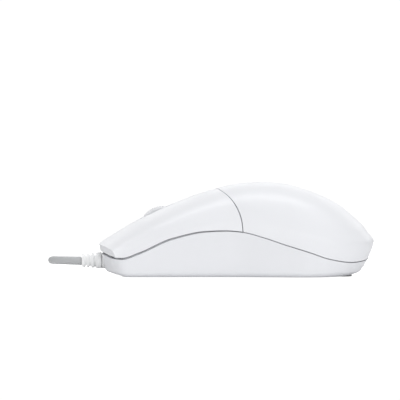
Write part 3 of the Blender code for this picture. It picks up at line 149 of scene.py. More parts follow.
add_table(TABLE_HALF, -TABLE_DROP)
add_lamp("lamp_above", (0.0, 0.1, 1.0), (0, 0, 0), (1.2, 0.4), 4.3)
add_lamp("lamp_camera_side", (0.28, -1.16, 0.34), (0, 0, 0.02), (1.8, 0.5), 6.2)
add_lamp("lamp_far_side", (0.0, 1.1, 0.50), (0, 0, 0.02), (1.8, 0.5), 3.0)
sky = bpy.data.worlds.new("sky")
sky.use_nodes = True
background = sky.node_tree.nodes["Background"]
background.inputs["Color"].default_value = (1.0, 1.0, 1.0, 1)
sky.node_tree.links.new(seen_strength(sky.node_tree, WHITE_SEEN, SKY_LIGHT), background.inputs["Strength"])
bpy.context.scene.world = sky
bpy.context.scene.view_settings.view_transform = "Standard"

# %% [markdown]
# ## The cord
# A mouse's cord is a limp vinyl lead with four thin wires in it. It could be a swept mesh, but a curve with
# a round bevel keeps its own centre line, so its real length can be measured. The first points are listed
# where the lead leaves the mouse and turns back behind it. The rest lies in a neat round coil,
# which a loop works out: its cells are three wide and four high. The far end runs into the plug.

# %% The cord's route
CORD_RADIUS = 1.7
COIL_CENTRE = (-22.0, 66.0)
COIL_MIDDLE_RADIUS = 21.0
COIL_BOTTOM = 1.2
CORD_START_X = -64.9
TAIL_START_X = -0.3
CORD_ROUTE = (
    (0.0, 0.0, 6.2), (-3.0, 0.1, 6.2), (-7.0, 1.2, 6.2), (-11.0, 4.4, 6.1), (-12.6, 9.0, 5.9),
    (-11.0, 13.6, 5.6), (-6.0, 17.8, 5.2), (2.0, 22.5, 4.6), (8.5, 28.5, 3.2), (12.0, 36.0, 2.2),
    (13.6, 48.0, 1.9), (14.0, 63.0, 1.9),
)
TAIL_ROUTE = (
    (7.2, 63.0, 5.2), (8.0, 55.5, 4.4), (11.2, 49.4, 3.8), (16.0, 46.8, 3.8), (22.0, 46.5, 4.0),
)


def smooth_path(points, steps):
    """A smooth line through the points, with that many steps between each two."""
    given = [np.array(p, float) for p in points]
    given = [2 * given[0] - given[1]] + given + [2 * given[-1] - given[-2]]
    line = []
    for i in range(1, len(given) - 2):
        p0, p1, p2, p3 = given[i - 1:i + 3]
        for t in np.linspace(0, 1, steps, endpoint=False):
            line.append(0.5 * (2 * p1 + (p2 - p0) * t + (2 * p0 - 5 * p1 + 4 * p2 - p3) * t * t
                               + (3 * p1 - p0 - 3 * p2 + p3) * t ** 3))
    line.append(given[-2])
    return line


def path_length(points):
    return float(np.linalg.norm(np.diff(np.array(points), axis=0), axis=1).sum())


lead_in = [(CORD_START_X + x, y, z) for x, y, z in CORD_ROUTE]
lead_out = [(TAIL_START_X + x, y, z) for x, y, z in TAIL_ROUTE]

# %% [markdown]
# The turns of the coil sit in four rows of three, each row moved over by half a cord, as real turns nest. A
# list says in which order the cells are filled, so that each turn lies beside the one before. Near the tie
# every turn steps over to its next cell within a short stretch.

# %% The coil's turns
PITCH = 2 * CORD_RADIUS
CELL_ORDER = ((2, 0), (1, 0), (0, 0), (0, 1), (0, 2), (0, 3), (1, 3), (2, 3), (2, 2), (1, 2), (1, 1), (2, 1))
POINTS_PER_TURN = 48
STEP_OVER = 0.10


def cell_place(column, row):
    """Radius and height of a cell of the coil."""
    nest = PITCH / 4 if row % 2 else -PITCH / 4
    radius = COIL_MIDDLE_RADIUS + (column - 1) * PITCH + nest
    height = COIL_BOTTOM + CORD_RADIUS + 0.05 + row * PITCH * math.sin(math.pi / 3)
    return np.array((radius, height))


def coil_points():
    """Points along the turns, from the mouse's side of the coil clockwise to the plug's side."""
    cells = [cell_place(*cell) for cell in CELL_ORDER]
    turns = len(cells) - 1.5
    made = []
    for n in range(int(turns * POINTS_PER_TURN) + 1):
        run = n / POINTS_PER_TURN
        number = run + 0.75
        cell = int(number)
        into = number - cell
        blend = np.clip((into - (1 - STEP_OVER)) / STEP_OVER, 0, 1)
        blend = blend * blend * (3 - 2 * blend)
        radius, height = cells[cell] * (1 - blend) + cells[min(cell + 1, len(cells) - 1)] * blend
        angle = math.pi - 2 * math.pi * run
        x = COIL_CENTRE[0] + radius * math.cos(angle)
        y = COIL_CENTRE[1] + radius * math.sin(angle)
        made.append((x, y, height))
    return made


turn_points = coil_points()
print("coil", len(turn_points), "points,", round(path_length(turn_points)), "mm")

# %% [markdown]
# The listed ends meet the turns at a small distance. Dropping the last stretch of the lead and the
# first of the turns and drawing one smooth line through what is left makes the join invisible.

# %% One line from the mouse to the plug
route = smooth_path(lead_in[:-1], 6)[:-1]
joined = smooth_path([lead_in[-3], lead_in[-2], lead_in[-1], turn_points[3], turn_points[6]], 6)[6:-6]
route += joined + [np.array(p) for p in turn_points[4:-5]]
ending = smooth_path([turn_points[-8], turn_points[-5], lead_out[0], lead_out[1], lead_out[2]], 6)[6:-12]
route += ending + smooth_path(lead_out[0:], 6)[1:]
LEAST_STEP = 0.3
route = [route[0]] + [b for a, b in zip(route[:-1], route[1:])
                      if np.linalg.norm(np.array(b) - np.array(a)) > LEAST_STEP]


def add_cord(name, points, radius, resolution):
    data = bpy.data.curves.new(name, "CURVE")
    data.dimensions = "3D"
    data.bevel_depth = 1.0
    data.bevel_resolution = resolution
    data.use_fill_caps = True
    spline = data.splines.new("POLY")
    spline.points.add(len(points) - 1)
    for point, place in zip(spline.points, points):
        point.co = (*(float(c) * MM for c in place), 1)
        point.radius = radius * MM
    spline.use_smooth = True
    item = bpy.data.objects.new(name, data)
    bpy.context.scene.collection.objects.link(item)
    return item


cord = add_cord("lead", route, CORD_RADIUS, 6)
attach(cord, "chassis")
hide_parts("cord", "cord_coil", "cord_tail")

# %% [markdown]
# ## Finishes: what they share
# Moulded plastic is never perfectly even. Its mould was etched, which leaves a fine grain; it cooled
# unevenly, which leaves slow changes of tone and shine. One shader group makes these three patterns for
# every moulded piece, and each material mixes them in with its own strength. Sizes go in as millimetres.

# %% The group that moulded pieces share
def new_group(name, inputs, outputs):
    group = bpy.data.node_groups.new(name, "ShaderNodeTree")
    for label, value in inputs:
        socket = group.interface.new_socket(name=label, in_out="INPUT", socket_type="NodeSocketFloat")
        socket.default_value = value
    for label in outputs:
        group.interface.new_socket(name=label, in_out="OUTPUT", socket_type="NodeSocketFloat")
    return group, group.nodes.new("NodeGroupInput"), group.nodes.new("NodeGroupOutput")


def add_node(tree, kind, **settings):
    node = tree.nodes.new(kind)
    for key, value in settings.items():
        if key in node.inputs:
            node.inputs[key].default_value = value
        else:
            setattr(node, key, value)
    return node


def per_millimetre(tree, size_socket):
    """Turns a feature size in millimetres into a texture scale for coordinates in metres."""
    divide = add_node(tree, "ShaderNodeMath", operation="DIVIDE")
    divide.inputs[0].default_value = 1 / MM
    tree.links.new(size_socket, divide.inputs[1])
    return divide.outputs[0]


def add_noise(tree, coordinates, size_socket, detail, roughness=0.5):
    noise = add_node(tree, "ShaderNodeTexNoise", Detail=detail, Roughness=roughness)
    tree.links.new(coordinates, noise.inputs["Vector"])
    tree.links.new(per_millimetre(tree, size_socket), noise.inputs["Scale"])
    return noise.outputs["Fac"]


def make_moulded_group():
    inputs = (("Grain Size", 0.35), ("Mottle Size", 9.0), ("Flow Size", 40.0))
    tree, given, made = new_group("moulded_skin", inputs, ("Grain", "Mottle", "Flow"))
    place = add_node(tree, "ShaderNodeTexCoord").outputs["Object"]
    tree.links.new(add_noise(tree, place, given.outputs["Grain Size"], 2.0, 0.6), made.inputs["Grain"])
    tree.links.new(add_noise(tree, place, given.outputs["Mottle Size"], 3.0), made.inputs["Mottle"])
    tree.links.new(add_noise(tree, place, given.outputs["Flow Size"], 1.0), made.inputs["Flow"])
    return tree


moulded_skin = make_moulded_group()
gives = [socket.name for socket in moulded_skin.interface.items_tree if socket.in_out == "OUTPUT"]
print("group", moulded_skin.name, "gives", gives)

# %% [markdown]
# ## Moulded plastic
# The material itself keeps the Principled shader. The slow patterns move its colour between two near tones
# and its roughness between two values, and the fine grain is a shallow bump. The depths are real ones: an
# etched grain is about a hundredth of a millimetre deep.

# %% The moulded plastic maker
def blank_material(name, roughness=0.5, metallic=0.0):
    finish = bpy.data.materials.new(name)
    finish.use_nodes = True
    tree = finish.node_tree
    shader = tree.nodes["Principled BSDF"]
    shader.inputs["Roughness"].default_value = roughness
    shader.inputs["Metallic"].default_value = metallic
    return finish, tree, shader


def mix_colours(tree, mask, first, second):
    mix = add_node(tree, "ShaderNodeMix", data_type="RGBA")
    mix.inputs[6].default_value = (*first, 1)
    mix.inputs[7].default_value = (*second, 1)
    tree.links.new(mask, mix.inputs[0])
    return mix.outputs[2]


def spread(tree, mask, low, high, start=0.3, end=0.7):
    span = add_node(tree, "ShaderNodeMapRange")
    span.inputs["From Min"].default_value = start
    span.inputs["From Max"].default_value = end
    span.inputs["To Min"].default_value = low
    span.inputs["To Max"].default_value = high
    tree.links.new(mask, span.inputs["Value"])
    return span.outputs["Result"]


def add_bump(tree, shader, height, depth_mm, strength=1.0):
    bump = add_node(tree, "ShaderNodeBump")
    bump.inputs["Strength"].default_value = strength
    bump.inputs["Distance"].default_value = depth_mm * MM
    tree.links.new(height, bump.inputs["Height"])
    tree.links.new(bump.outputs["Normal"], shader.inputs["Normal"])
    return bump


def moulded_plastic(name, light, dark, rough, grain_mm=0.35, depth_mm=0.012, mottle_mm=9.0):
    finish, tree, shader = blank_material(name)
    skin = add_node(tree, "ShaderNodeGroup", node_tree=moulded_skin)
    skin.inputs["Grain Size"].default_value = grain_mm
    skin.inputs["Mottle Size"].default_value = mottle_mm
    tree.links.new(mix_colours(tree, skin.outputs["Flow"], light, dark), shader.inputs["Base Color"])
    tree.links.new(spread(tree, skin.outputs["Mottle"], *rough), shader.inputs["Roughness"])
    add_bump(tree, shader, skin.outputs["Grain"], depth_mm)
    return finish


top_finish = moulded_plastic("top_satin", (0.86, 0.87, 0.90), (0.83, 0.84, 0.87), (0.34, 0.44))
base_finish = moulded_plastic("base_satin", (0.84, 0.85, 0.88), (0.80, 0.81, 0.84), (0.38, 0.48), 0.45, 0.016)
print("moulded:", top_finish.name, base_finish.name)

# %% [markdown]
# ## The body's outer surface
# The three upper shells are one surface that was cut apart, so one rule has to make them all, or their
# edges won't meet. The rule is a section: from the height of the middle line it rounds over a shoulder to
# the flank, and the section is bowed back, because the seam is. Behind the highest point the sections fan
# out round the tail. Three drawn lines drive it: the middle line, the base's top edge and the plan outline.
# Each is a short list of shares of the mouse's length and height, and a monotone cubic joins them, which
# never bulges past its points.

# %% Lines that drive the surface
LENGTH = 115.0
WIDTH = 62.0
HEIGHT = 38.7
NOSE = -1.0
SEAM_MIDDLE = -0.144
SUMMIT = 0.165
CREST = (
    (-1.0, 0.345), (-0.877, 0.460), (-0.703, 0.610), (-0.483, 0.760), (-0.223, 0.902),
    (0.040, 0.990), (0.165, 1.0), (0.390, 0.972), (0.651, 0.837),
)
TAIL = (
    (0.165, 1.0), (0.285, 0.992), (0.390, 0.972), (0.520, 0.915), (0.651, 0.837), (0.750, 0.755),
    (0.826, 0.664), (0.913, 0.545), (0.957, 0.460), (0.990, 0.400), (1.0, 0.360), (0.993, 0.308),
    (0.982, 0.262), (0.962, 0.196),
)
PARTING = (
    (-1.0, 0.240), (-0.967, 0.236), (-0.900, 0.205), (-0.821, 0.194), (-0.706, 0.248), (-0.463, 0.406),
    (-0.219, 0.486), (-0.075, 0.496), (0.043, 0.483), (0.186, 0.429), (0.348, 0.349), (0.511, 0.274),
    (0.673, 0.194), (0.835, 0.158), (0.932, 0.171), (0.960, 0.194),
)
PLAN = (
    (-1.0, 0.860), (-0.87, 0.885), (-0.60, 0.905), (-0.30, 0.900), (-0.05, 0.905), (0.20, 0.955),
    (0.45, 1.0),
)
PLAN_WIDEST = 0.45
PLAN_REAR = 0.960
PLAN_REAR_POWER = 2.25
CREASE = (
    (-1.0, 0.262), (-0.877, 0.279), (-0.765, 0.377), (-0.666, 0.447), (-0.567, 0.506), (-0.466, 0.563),
    (-0.369, 0.618), (-0.270, 0.672), (-0.169, 0.713), (-0.071, 0.742), (0.10, 0.762), (0.35, 0.745),
    (0.60, 0.680), (0.80, 0.545), (0.92, 0.400),
)


def smooth_curve(points):
    """A function through the points that never overshoots them (monotone cubic)."""
    xs, ys = np.array(points, float).T
    step = np.diff(xs)
    rise = np.diff(ys) / step
    slope = np.zeros(len(xs))
    slope[0], slope[-1] = rise[0], rise[-1]
    for i in range(1, len(xs) - 1):
        if rise[i - 1] * rise[i] > 0:
            near = 2 * step[i] + step[i - 1]
            far = step[i] + 2 * step[i - 1]
            slope[i] = (near + far) / (near / rise[i - 1] + far / rise[i])

    def value(x):
        x = min(max(x, xs[0]), xs[-1])
        i = min(int(np.searchsorted(xs, x, side="right")) - 1, len(xs) - 2)
        h = step[i]
        t = (x - xs[i]) / h
        a = (1 + 2 * t) * (1 - t) ** 2 * ys[i] + t * (1 - t) ** 2 * h * slope[i]
        return a + t * t * (3 - 2 * t) * ys[i + 1] + t * t * (t - 1) * h * slope[i + 1]

    return value


crest_share = smooth_curve(CREST)
parting_share = smooth_curve(PARTING)
plan_share = smooth_curve(PLAN)
crease_share = smooth_curve(CREASE)


def along(share):
    return share * LENGTH / 2


def crest(x):
    return HEIGHT * crest_share(2 * x / LENGTH)


def parting(x):
    return HEIGHT * parting_share(2 * x / LENGTH)


def crease(x):
    return HEIGHT * crease_share(2 * x / LENGTH)


def half_width(x):
    share = 2 * x / LENGTH
    if share <= PLAN_WIDEST:
        return WIDTH / 2 * plan_share(share)
    u = min((share - PLAN_WIDEST) / (PLAN_REAR - PLAN_WIDEST), 1.0)
    return WIDTH / 2 * (1 - u ** PLAN_REAR_POWER) ** (1 / PLAN_REAR_POWER)


for share in (-0.9, -0.5, 0.0, 0.5):
    x = along(share)
    print(f"x {x:6.1f}: base edge {parting(x):5.1f}, crease {crease(x):5.1f}, crest {crest(x):5.1f} mm")

# %% [markdown]
# Now the section itself. It is a superellipse in two parts: a low power across gives a nearly flat crown,
# and a high power down gives the tight shoulder. A maker's surface tool would loft the same thing through
# drawn sections. As a function it can be read at any place, so the buttons and the cover can share it.

# %% The section and the fan behind it
CROWN_POWER = 2.4
SHOULDER_POWER = 3.2
FLANK_FLARE = 0.2
FLARED = 1 - FLANK_FLARE ** SHOULDER_POWER
FULL_TURN = math.acos(FLANK_FLARE ** (SHOULDER_POWER / 2))
SEAM_BEND = 10.7
NOSE_BEND = 7.4
BEND_POWER = 2.0
FAN_POWER = 1.15


def bend(x):
    """How far back a section that starts at x on the middle line meets the flank."""
    nose, seam, summit = along(NOSE), along(SEAM_MIDDLE), along(SUMMIT)
    if x <= seam:
        return NOSE_BEND + (SEAM_BEND - NOSE_BEND) * (x - nose) / (seam - nose)
    return SEAM_BEND * (summit - x) / (summit - seam)


def section_shares(v):
    """Share of the half width and of the height at v: 0 on the middle line, 1 on the flank."""
    across = (math.sin(v * FULL_TURN) ** 2 / FLARED) ** (1 / CROWN_POWER)
    high = (math.cos(v * FULL_TURN) ** (2 / SHOULDER_POWER) - FLANK_FLARE) / (1 - FLANK_FLARE)
    return across, max(high, 0.0)


def section_start(across):
    return math.asin(math.sqrt(min(across ** CROWN_POWER * FLARED, 1.0))) / FULL_TURN


def section_point(x, v, gap):
    across, high = section_shares(v)
    foot_x = x + bend(x)
    low = parting(foot_x) + gap
    return (x + bend(x) * across ** BEND_POWER, half_width(foot_x) * across, low + (crest(x) - low) * high)


tail_line = np.array(smooth_path([(u * LENGTH / 2, z * HEIGHT) for u, z in TAIL], 24))
tail_run = np.concatenate([[0], np.cumsum(np.linalg.norm(np.diff(tail_line, axis=0), axis=1))])


def tail_point(turn, v, gap):
    """Point on the rear end: turn runs from 0 on the flank to 1 on the middle of the tail."""
    summit_x, rear_x = along(SUMMIT), along(PLAN_REAR)
    foot_x = summit_x + (rear_x - summit_x) * math.sin(turn * math.pi / 2) ** FAN_POWER
    foot_y = half_width(foot_x) if turn < 1 else 0.0
    weight = ((foot_x - summit_x) / math.hypot(foot_x - summit_x, foot_y)) ** 2
    low = parting(foot_x) + gap
    across, high = section_shares(v)
    tail_x, tail_z = (np.interp(v * tail_run[-1], tail_run, tail_line[:, k]) for k in (0, 1))
    reach = (tail_x - summit_x) / (tail_line[-1, 0] - summit_x)
    rise = (tail_z - tail_line[-1, 1]) / (tail_line[0, 1] - tail_line[-1, 1])
    out = (1 - weight) * across + weight * reach
    up = (1 - weight) * high + weight * rise
    return (summit_x + (foot_x - summit_x) * out, foot_y * out, low + (HEIGHT - low) * up)


print("shoulder at half way down:", [round(c, 1) for c in section_point(along(-0.2), 0.6, 0.3)])

# %% [markdown]
# ## Turning the surface into shells
# A patch of the surface is a grid of points. The finger grip on each side is a soft step that runs along
# the flank: the skin above it stands a little proud and the skin below it a little in. It is made by moving
# the points along their normals, which is what sculpting does by hand. A Solidify then gives the wall, and
# a Bevel rounds its edges, because a moulded edge is never sharp.

# %% Shell maker
WALL = 1.8
EDGE_ROUND = 0.28
STEP_DEPTH = smooth_curve(((-1.0, 0.9), (-0.75, 1.0), (-0.4, 1.2), (-0.1, 1.2), (0.4, 1.1), (0.9, 0.3)))
STEP_WIDTH = smooth_curve(((-1.0, 1.0), (-0.75, 1.6), (-0.3, 3.0), (0.0, 6.0), (0.5, 9.0), (0.9, 7.0)))
STEP_REACH = smooth_curve(((-1.0, 4.0), (-0.6, 7.0), (-0.1, 11.0), (0.4, 16.0), (0.9, 12.0)))


def grip_step(x, z):
    """How far the grip moves the skin out, above and below the crease."""
    share = np.clip(2 * x / LENGTH, -1, 0.92)
    above = z - crease(x)
    return STEP_DEPTH(share) * 0.5 * math.tanh(2 * above / STEP_WIDTH(share)) * math.exp(
        -(above / STEP_REACH(share)) ** 2)


def skin_from_rows(work, rows):
    """Adds a grid of points to a mesh in the making."""
    grid = [[work.verts.new(p) for p in row] for row in rows]
    for upper, lower in zip(grid, grid[1:]):
        for k in range(len(upper) - 1):
            work.faces.new((upper[k], upper[k + 1], lower[k + 1], lower[k]))


def add_object(name, work, finish, body, angle=35.0):
    """Turns a mesh in millimetres into a smooth object that rides on a body."""
    for vert in work.verts:
        vert.co *= MM
    data = bpy.data.meshes.new(name)
    work.to_mesh(data)
    work.free()
    data.shade_smooth()
    data.set_sharp_from_angle(angle=math.radians(angle))
    data.materials.append(finish)
    item = bpy.data.objects.new(name, data)
    bpy.context.scene.collection.objects.link(item)
    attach(item, body)
    return item


def round_edges(item, width, segments=3, angle=50.0):
    modifier = item.modifiers.new("rounded edges", "BEVEL")
    modifier.width = width * MM
    modifier.segments = segments
    modifier.limit_method = "ANGLE"
    modifier.angle_limit = math.radians(angle)
    modifier.harden_normals = False
    return modifier


WELD_DISTANCE = 0.004
CREST_CALM = 8.0


def skin_to_shell(name, patches, finish, body, inset=0.0, thickness=WALL):
    """One shell from patches of skin that share edges: welded, stepped, walled and rounded."""
    work = bmesh.new()
    for rows in patches:
        skin_from_rows(work, rows)
    bmesh.ops.remove_doubles(work, verts=work.verts, dist=WELD_DISTANCE)
    bmesh.ops.recalc_face_normals(work, faces=work.faces)
    middle = sum((v.co for v in work.verts), Vector()) / len(work.verts)
    outwards = sum((f.calc_center_median() - middle).dot(f.normal) * f.calc_area() for f in work.faces)
    if outwards < 0:
        bmesh.ops.reverse_faces(work, faces=work.faces)
    work.normal_update()
    for vert in work.verts:
        sideways = min(abs(vert.co.y) / CREST_CALM, 1) * (1 - min(vert.normal.x, 0) ** 2) ** 2
        tail = 1 - max(vert.normal.x, 0) ** 2
        behind_lip = np.clip((vert.co.x - along(NOSE) - 2) / 8, 0, 1)
        vert.co += vert.normal * (grip_step(vert.co.x, vert.co.z) * sideways * tail * behind_lip - inset)
    shell = add_object(name, work, finish, body, 60.0)
    wall = shell.modifiers.new("wall", "SOLIDIFY")
    wall.thickness = thickness * MM
    wall.offset = -1
    round_edges(shell, EDGE_ROUND)
    return shell


# %% [markdown]
# ## The two buttons
# On the real mouse each button is a plate moulded with the top, split along the middle and round the wheel.
# Its front edge folds down into a short lip. The grid is closer round the wheel, where the edge turns fast.

# %% The buttons
SEAM_GAP = 0.45
BUTTON_GAP_FRONT = 1.0
BUTTON_GAP_REAR = 0.45
BUTTON_SPLIT = 1.0
LIP_SETBACK = 0.6
WHEEL_X = along(-0.534)
WHEEL_Z = 19.0
WHEEL_WIDTH = 7.0
SLOT_X = WHEEL_X - 3.4
SLOT_HALF_LENGTH = 8.0
SLOT_CLEARANCE = 0.8
BUTTON_COLUMNS = 72


def button_gap(x):
    near_seam = np.clip((x - along(-0.5)) / (along(0.0) - along(-0.5)), 0, 1)
    return BUTTON_GAP_FRONT + (BUTTON_GAP_REAR - BUTTON_GAP_FRONT) * near_seam


def slot_half_width(x):
    u = abs(x - SLOT_X) / SLOT_HALF_LENGTH
    if u >= 1:
        return BUTTON_SPLIT / 2
    return max(BUTTON_SPLIT / 2, (WHEEL_WIDTH / 2 + SLOT_CLEARANCE) * (1 - u ** 5) ** (1 / 3))


def button_rows(side):
    front = list(np.linspace(along(NOSE), SLOT_X - SLOT_HALF_LENGTH, 30))
    slot = [SLOT_X - SLOT_HALF_LENGTH * math.cos(a) for a in np.linspace(0, math.pi, 42)[1:-1]]
    rear = list(np.linspace(SLOT_X + SLOT_HALF_LENGTH, along(SEAM_MIDDLE) - SEAM_GAP / 2, 34))
    rows = []
    for x in front + slot + rear:
        start = section_start(slot_half_width(x) / half_width(x + bend(x)))
        gap = button_gap(x + bend(x))
        row = [section_point(x, v, gap) for v in np.linspace(start, 1, BUTTON_COLUMNS)]
        rows.append([(px, side * py, pz) for px, py, pz in row])
    edge = np.array(rows[0])
    share = np.concatenate([[0], np.cumsum(np.linalg.norm(np.diff(edge, axis=0), axis=1))])
    share /= share[-1]
    ys = edge[0, 1] + (edge[-1, 1] - edge[0, 1]) * share
    reach = np.maximum.accumulate(np.abs(edge[:, 1]))
    xs = np.interp(np.abs(ys), reach, edge[:, 0]) + LIP_SETBACK * (1 - share ** 8)
    foot = [(x, y, parting(x) + button_gap(x)) for x, y in zip(xs, ys)]
    foot[-1] = rows[0][-1]
    lip = [[tuple(np.array(a) * (1 - t) + np.array(b) * t) for a, b in zip(foot, rows[0])]
           for t in (0.0, 0.33, 0.66)]
    return lip + rows


buttons = {}
for name, side in (("left_button", -1), ("right_button", 1)):
    shell = skin_to_shell(f"{name}_shell", [button_rows(side)], top_finish, name)
    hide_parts(name)
    buttons[name] = shell
    print(name, len(shell.data.vertices), "points of skin")

# %% [markdown]
# ## The rear cover
# The cover takes the palm. Its skin starts at the seam with sections and ends in a fan round the tail, so
# it needs three patches: the sections, the fan on the right and its mirror image. They share their edge
# points and are welded.

# %% The cover
COVER_GAP = 0.3
COVER_COLUMNS = 64
COVER_TURNS = 72


def cover_patches():
    sections = []
    for x in np.linspace(along(SEAM_MIDDLE) + SEAM_GAP / 2, along(SUMMIT), 46):
        half = [section_point(x, v, COVER_GAP) for v in np.linspace(0, 1, COVER_COLUMNS + 1)]
        sections.append([(px, -py, pz) for px, py, pz in reversed(half[1:])] + half)
    fan = [[tail_point(turn, v, COVER_GAP) for v in np.linspace(0, 1, COVER_COLUMNS + 1)]
           for turn in np.linspace(0, 1, COVER_TURNS + 1)]
    mirrored = [[(x, -y, z) for x, y, z in row] for row in fan]
    return sections, fan, mirrored


cover = skin_to_shell("rear_cover_shell", cover_patches(), top_finish, "chassis")
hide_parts("rear_cover")
print("cover", len(cover.data.vertices), "points of skin")

# %% [markdown]
# Under the seam a narrow tongue of the cover reaches forward below the buttons. It keeps crumbs out on the
# real mouse, and here it stops light from shining through the joint.

# %% The tongue under the seam
TONGUE_REACH = 1.6
TONGUE_INSET = 2.3
TONGUE_WALL = 0.8
TONGUE_GAP = 0.8
seam_x = along(SEAM_MIDDLE)
tongue_rows = []
for x in np.linspace(seam_x - TONGUE_REACH, seam_x + TONGUE_REACH, 5):
    half = [section_point(x, v, TONGUE_GAP) for v in np.linspace(0, 1, 41)]
    tongue_rows.append([(px, -py, pz) for px, py, pz in reversed(half[1:])] + half)
seam_tongue = skin_to_shell(
    "cover_seam_tongue", [tongue_rows], top_finish, "chassis", TONGUE_INSET, TONGUE_WALL)
print("tongue", len(seam_tongue.data.vertices), "points")

# %% [markdown]
# ## The base
# The base is a tray with a flat floor and a wall whose top edge follows the wave between base and buttons.
# It is made as rings round the plan outline: down the outside, under the toe, over the floor and up the
# inside. The front leans in a little, the rear rolls under, and the sides are nearly upright, so each
# ring's inset depends on which way the outline faces there. A lap lip stands just inside the top edge. On
# the real mouse it keeps dust and light out of the joint, and it is what one sees as a grey line in the
# gap.

# %% The base's rings
BASE_UNDERSIDE = 0.4
FLOOR_TOP = 2.4
TOE_RISE = 1.9
TOE_INSETS = (8.0, 6.0, 2.0)
TOE_POWER = 0.75
LIP_INSET = 2.5
LIP_RISE = 0.85
LIP_WALL = 0.8


def base_outline():
    """Plan outline of the base's top edge, once round from the nose."""
    nose_x = along(NOSE) + 1.0
    corner_x = along(NOSE) + NOSE_BEND
    reach = half_width(corner_x)

    def front_x(y):
        return nose_x + (corner_x - nose_x) * (y / reach) ** BEND_POWER

    start_y = 0.78 * reach
    end_x = corner_x + 5.0
    half = [(front_x(y), y) for y in np.linspace(0, start_y, 26)]
    first, corner, last = [np.array(p) for p in (half[-1], (corner_x, reach), (end_x, half_width(end_x)))]
    for t in np.linspace(0, 1, 20)[1:-1]:
        half.append(tuple((1 - t) ** 2 * first + 2 * t * (1 - t) * corner + t * t * last))
    middle_x, rear_x = along(0.52), along(PLAN_REAR)
    half += [(x, half_width(x)) for x in np.linspace(end_x, middle_x, 90)]
    for a in np.linspace(0, math.pi / 2, 64)[1:-1]:
        x = rear_x - (rear_x - middle_x) * (1 - math.sin(a))
        half.append((x, half_width(x)))
    half.append((rear_x, 0.0))
    return half + [(x, -y) for x, y in reversed(half[1:-1])]


def outward(outline):
    """Unit vectors that point out of a closed plan outline."""
    points = np.array(outline)
    step = np.roll(points, -1, axis=0) - np.roll(points, 1, axis=0)
    normals = np.stack([step[:, 1], -step[:, 0]], axis=1) / np.linalg.norm(step, axis=1)[:, None]
    return normals if normals[0] @ (points[0] - points.mean(axis=0)) > 0 else -normals


plan = base_outline()
facing = outward(plan)


def base_ring(drop_share=None, z=None, inset=0.0, toe=0.0, rise=0.0):
    """One ring of the base: at a share of the way down the wall, or at a set height."""
    ring = []
    for (px, py), (nx, ny) in zip(plan, facing):
        top = parting(px)
        foot = BASE_UNDERSIDE + TOE_RISE
        height = z if z is not None else top + rise - (top - foot) * drop_share
        front, rear = max(-nx, 0.0) ** 2, max(nx, 0.0) ** 2
        side = 1 - front - rear
        drop = max(top - height, 0.0)
        lean = front * 0.27 * drop + rear * 0.62 * drop + side * 0.035 * drop
        curl = toe * (front * TOE_INSETS[0] + rear * TOE_INSETS[1] + side * TOE_INSETS[2])
        move = lean + curl + inset
        ring.append((px - nx * move, py - ny * move, height))
    return ring


outside = [base_ring(share) for share in np.linspace(0, 1, 22)]
for angle in np.linspace(0, math.pi / 2, 12)[1:]:
    height = BASE_UNDERSIDE + TOE_RISE * (1 - math.sin(angle))
    outside.append(base_ring(z=height, toe=(1 - math.cos(angle)) ** TOE_POWER))
inside = [base_ring(z=FLOOR_TOP, toe=1.0, inset=WALL), base_ring(0.93, inset=WALL)]
inside += [base_ring(share, inset=WALL) for share in (0.7, 0.4, 0.12)]
lap = [base_ring(0.10, inset=LIP_INSET), base_ring(0.0, inset=LIP_INSET, rise=LIP_RISE),
       base_ring(0.0, inset=LIP_INSET + LIP_WALL, rise=LIP_RISE), base_ring(0.14, inset=LIP_INSET + LIP_WALL)]
print("base outline", len(plan), "points,", len(outside), "rings outside")

# %% [markdown]
# The outside and the floor close into one mesh. What is cut out of it, such as the seats of the feet, the
# sensor's window and the notch for the cord, is cut with one Boolean per shape, and applied, so that no
# helper stays in the file.

# %% The base shell
def join_rings(first, second, work, count):
    for k in range(count):
        n = (k + 1) % count
        work.faces.new((first[k], first[n], second[n], second[k]))


def make_base():
    work = bmesh.new()
    count = len(plan)
    outer = [[work.verts.new(p) for p in ring] for ring in outside]
    inner = [[work.verts.new(p) for p in ring] for ring in inside]
    for a, b in zip(outer, outer[1:]):
        join_rings(a, b, work, count)
    for a, b in zip(inner, inner[1:]):
        join_rings(a, b, work, count)
    top = [work.verts.new(p) for p in base_ring(0.0, inset=WALL)]
    join_rings(inner[-1], top, work, count)
    join_rings(top, outer[0], work, count)
    work.faces.new(outer[-1])
    work.faces.new(list(reversed(inner[0])))
    bmesh.ops.recalc_face_normals(work, faces=work.faces)
    return work


def box_mesh(low, high):
    work = bmesh.new()
    bmesh.ops.create_cube(work, size=1.0)
    for vert in work.verts:
        vert.co = Vector([l + (h - l) * (c + 0.5) for c, l, h in zip(vert.co, low, high)])
    return work


def turned_mesh(profile, steps, centre, axis):
    """Turns a profile of (radius, distance along the axis) about an axis. Radius 0 closes an end."""
    work = bmesh.new()
    rings = []
    for radius, distance in profile:
        ring = []
        for k in range(steps if radius > 0 else 1):
            a = radius * math.cos(2 * math.pi * k / steps)
            b = radius * math.sin(2 * math.pi * k / steps)
            local = {"X": (distance, a, b), "Y": (b, distance, a), "Z": (a, b, distance)}[axis]
            ring.append(work.verts.new([c + l for c, l in zip(centre, local)]))
        rings.append(ring)
    if all(radius > 0 for radius, _ in profile):
        rings.append(rings[0])
    for first, second in zip(rings, rings[1:]):
        for k in range(steps):
            n = (k + 1) % steps
            ring = [first[k % len(first)], first[n % len(first)],
                    second[n % len(second)], second[k % len(second)]]
            slim = [v for i, v in enumerate(ring) if v is not ring[i - 1]]
            if len(slim) > 2:
                work.faces.new(slim)
    bmesh.ops.recalc_face_normals(work, faces=work.faces)
    return work


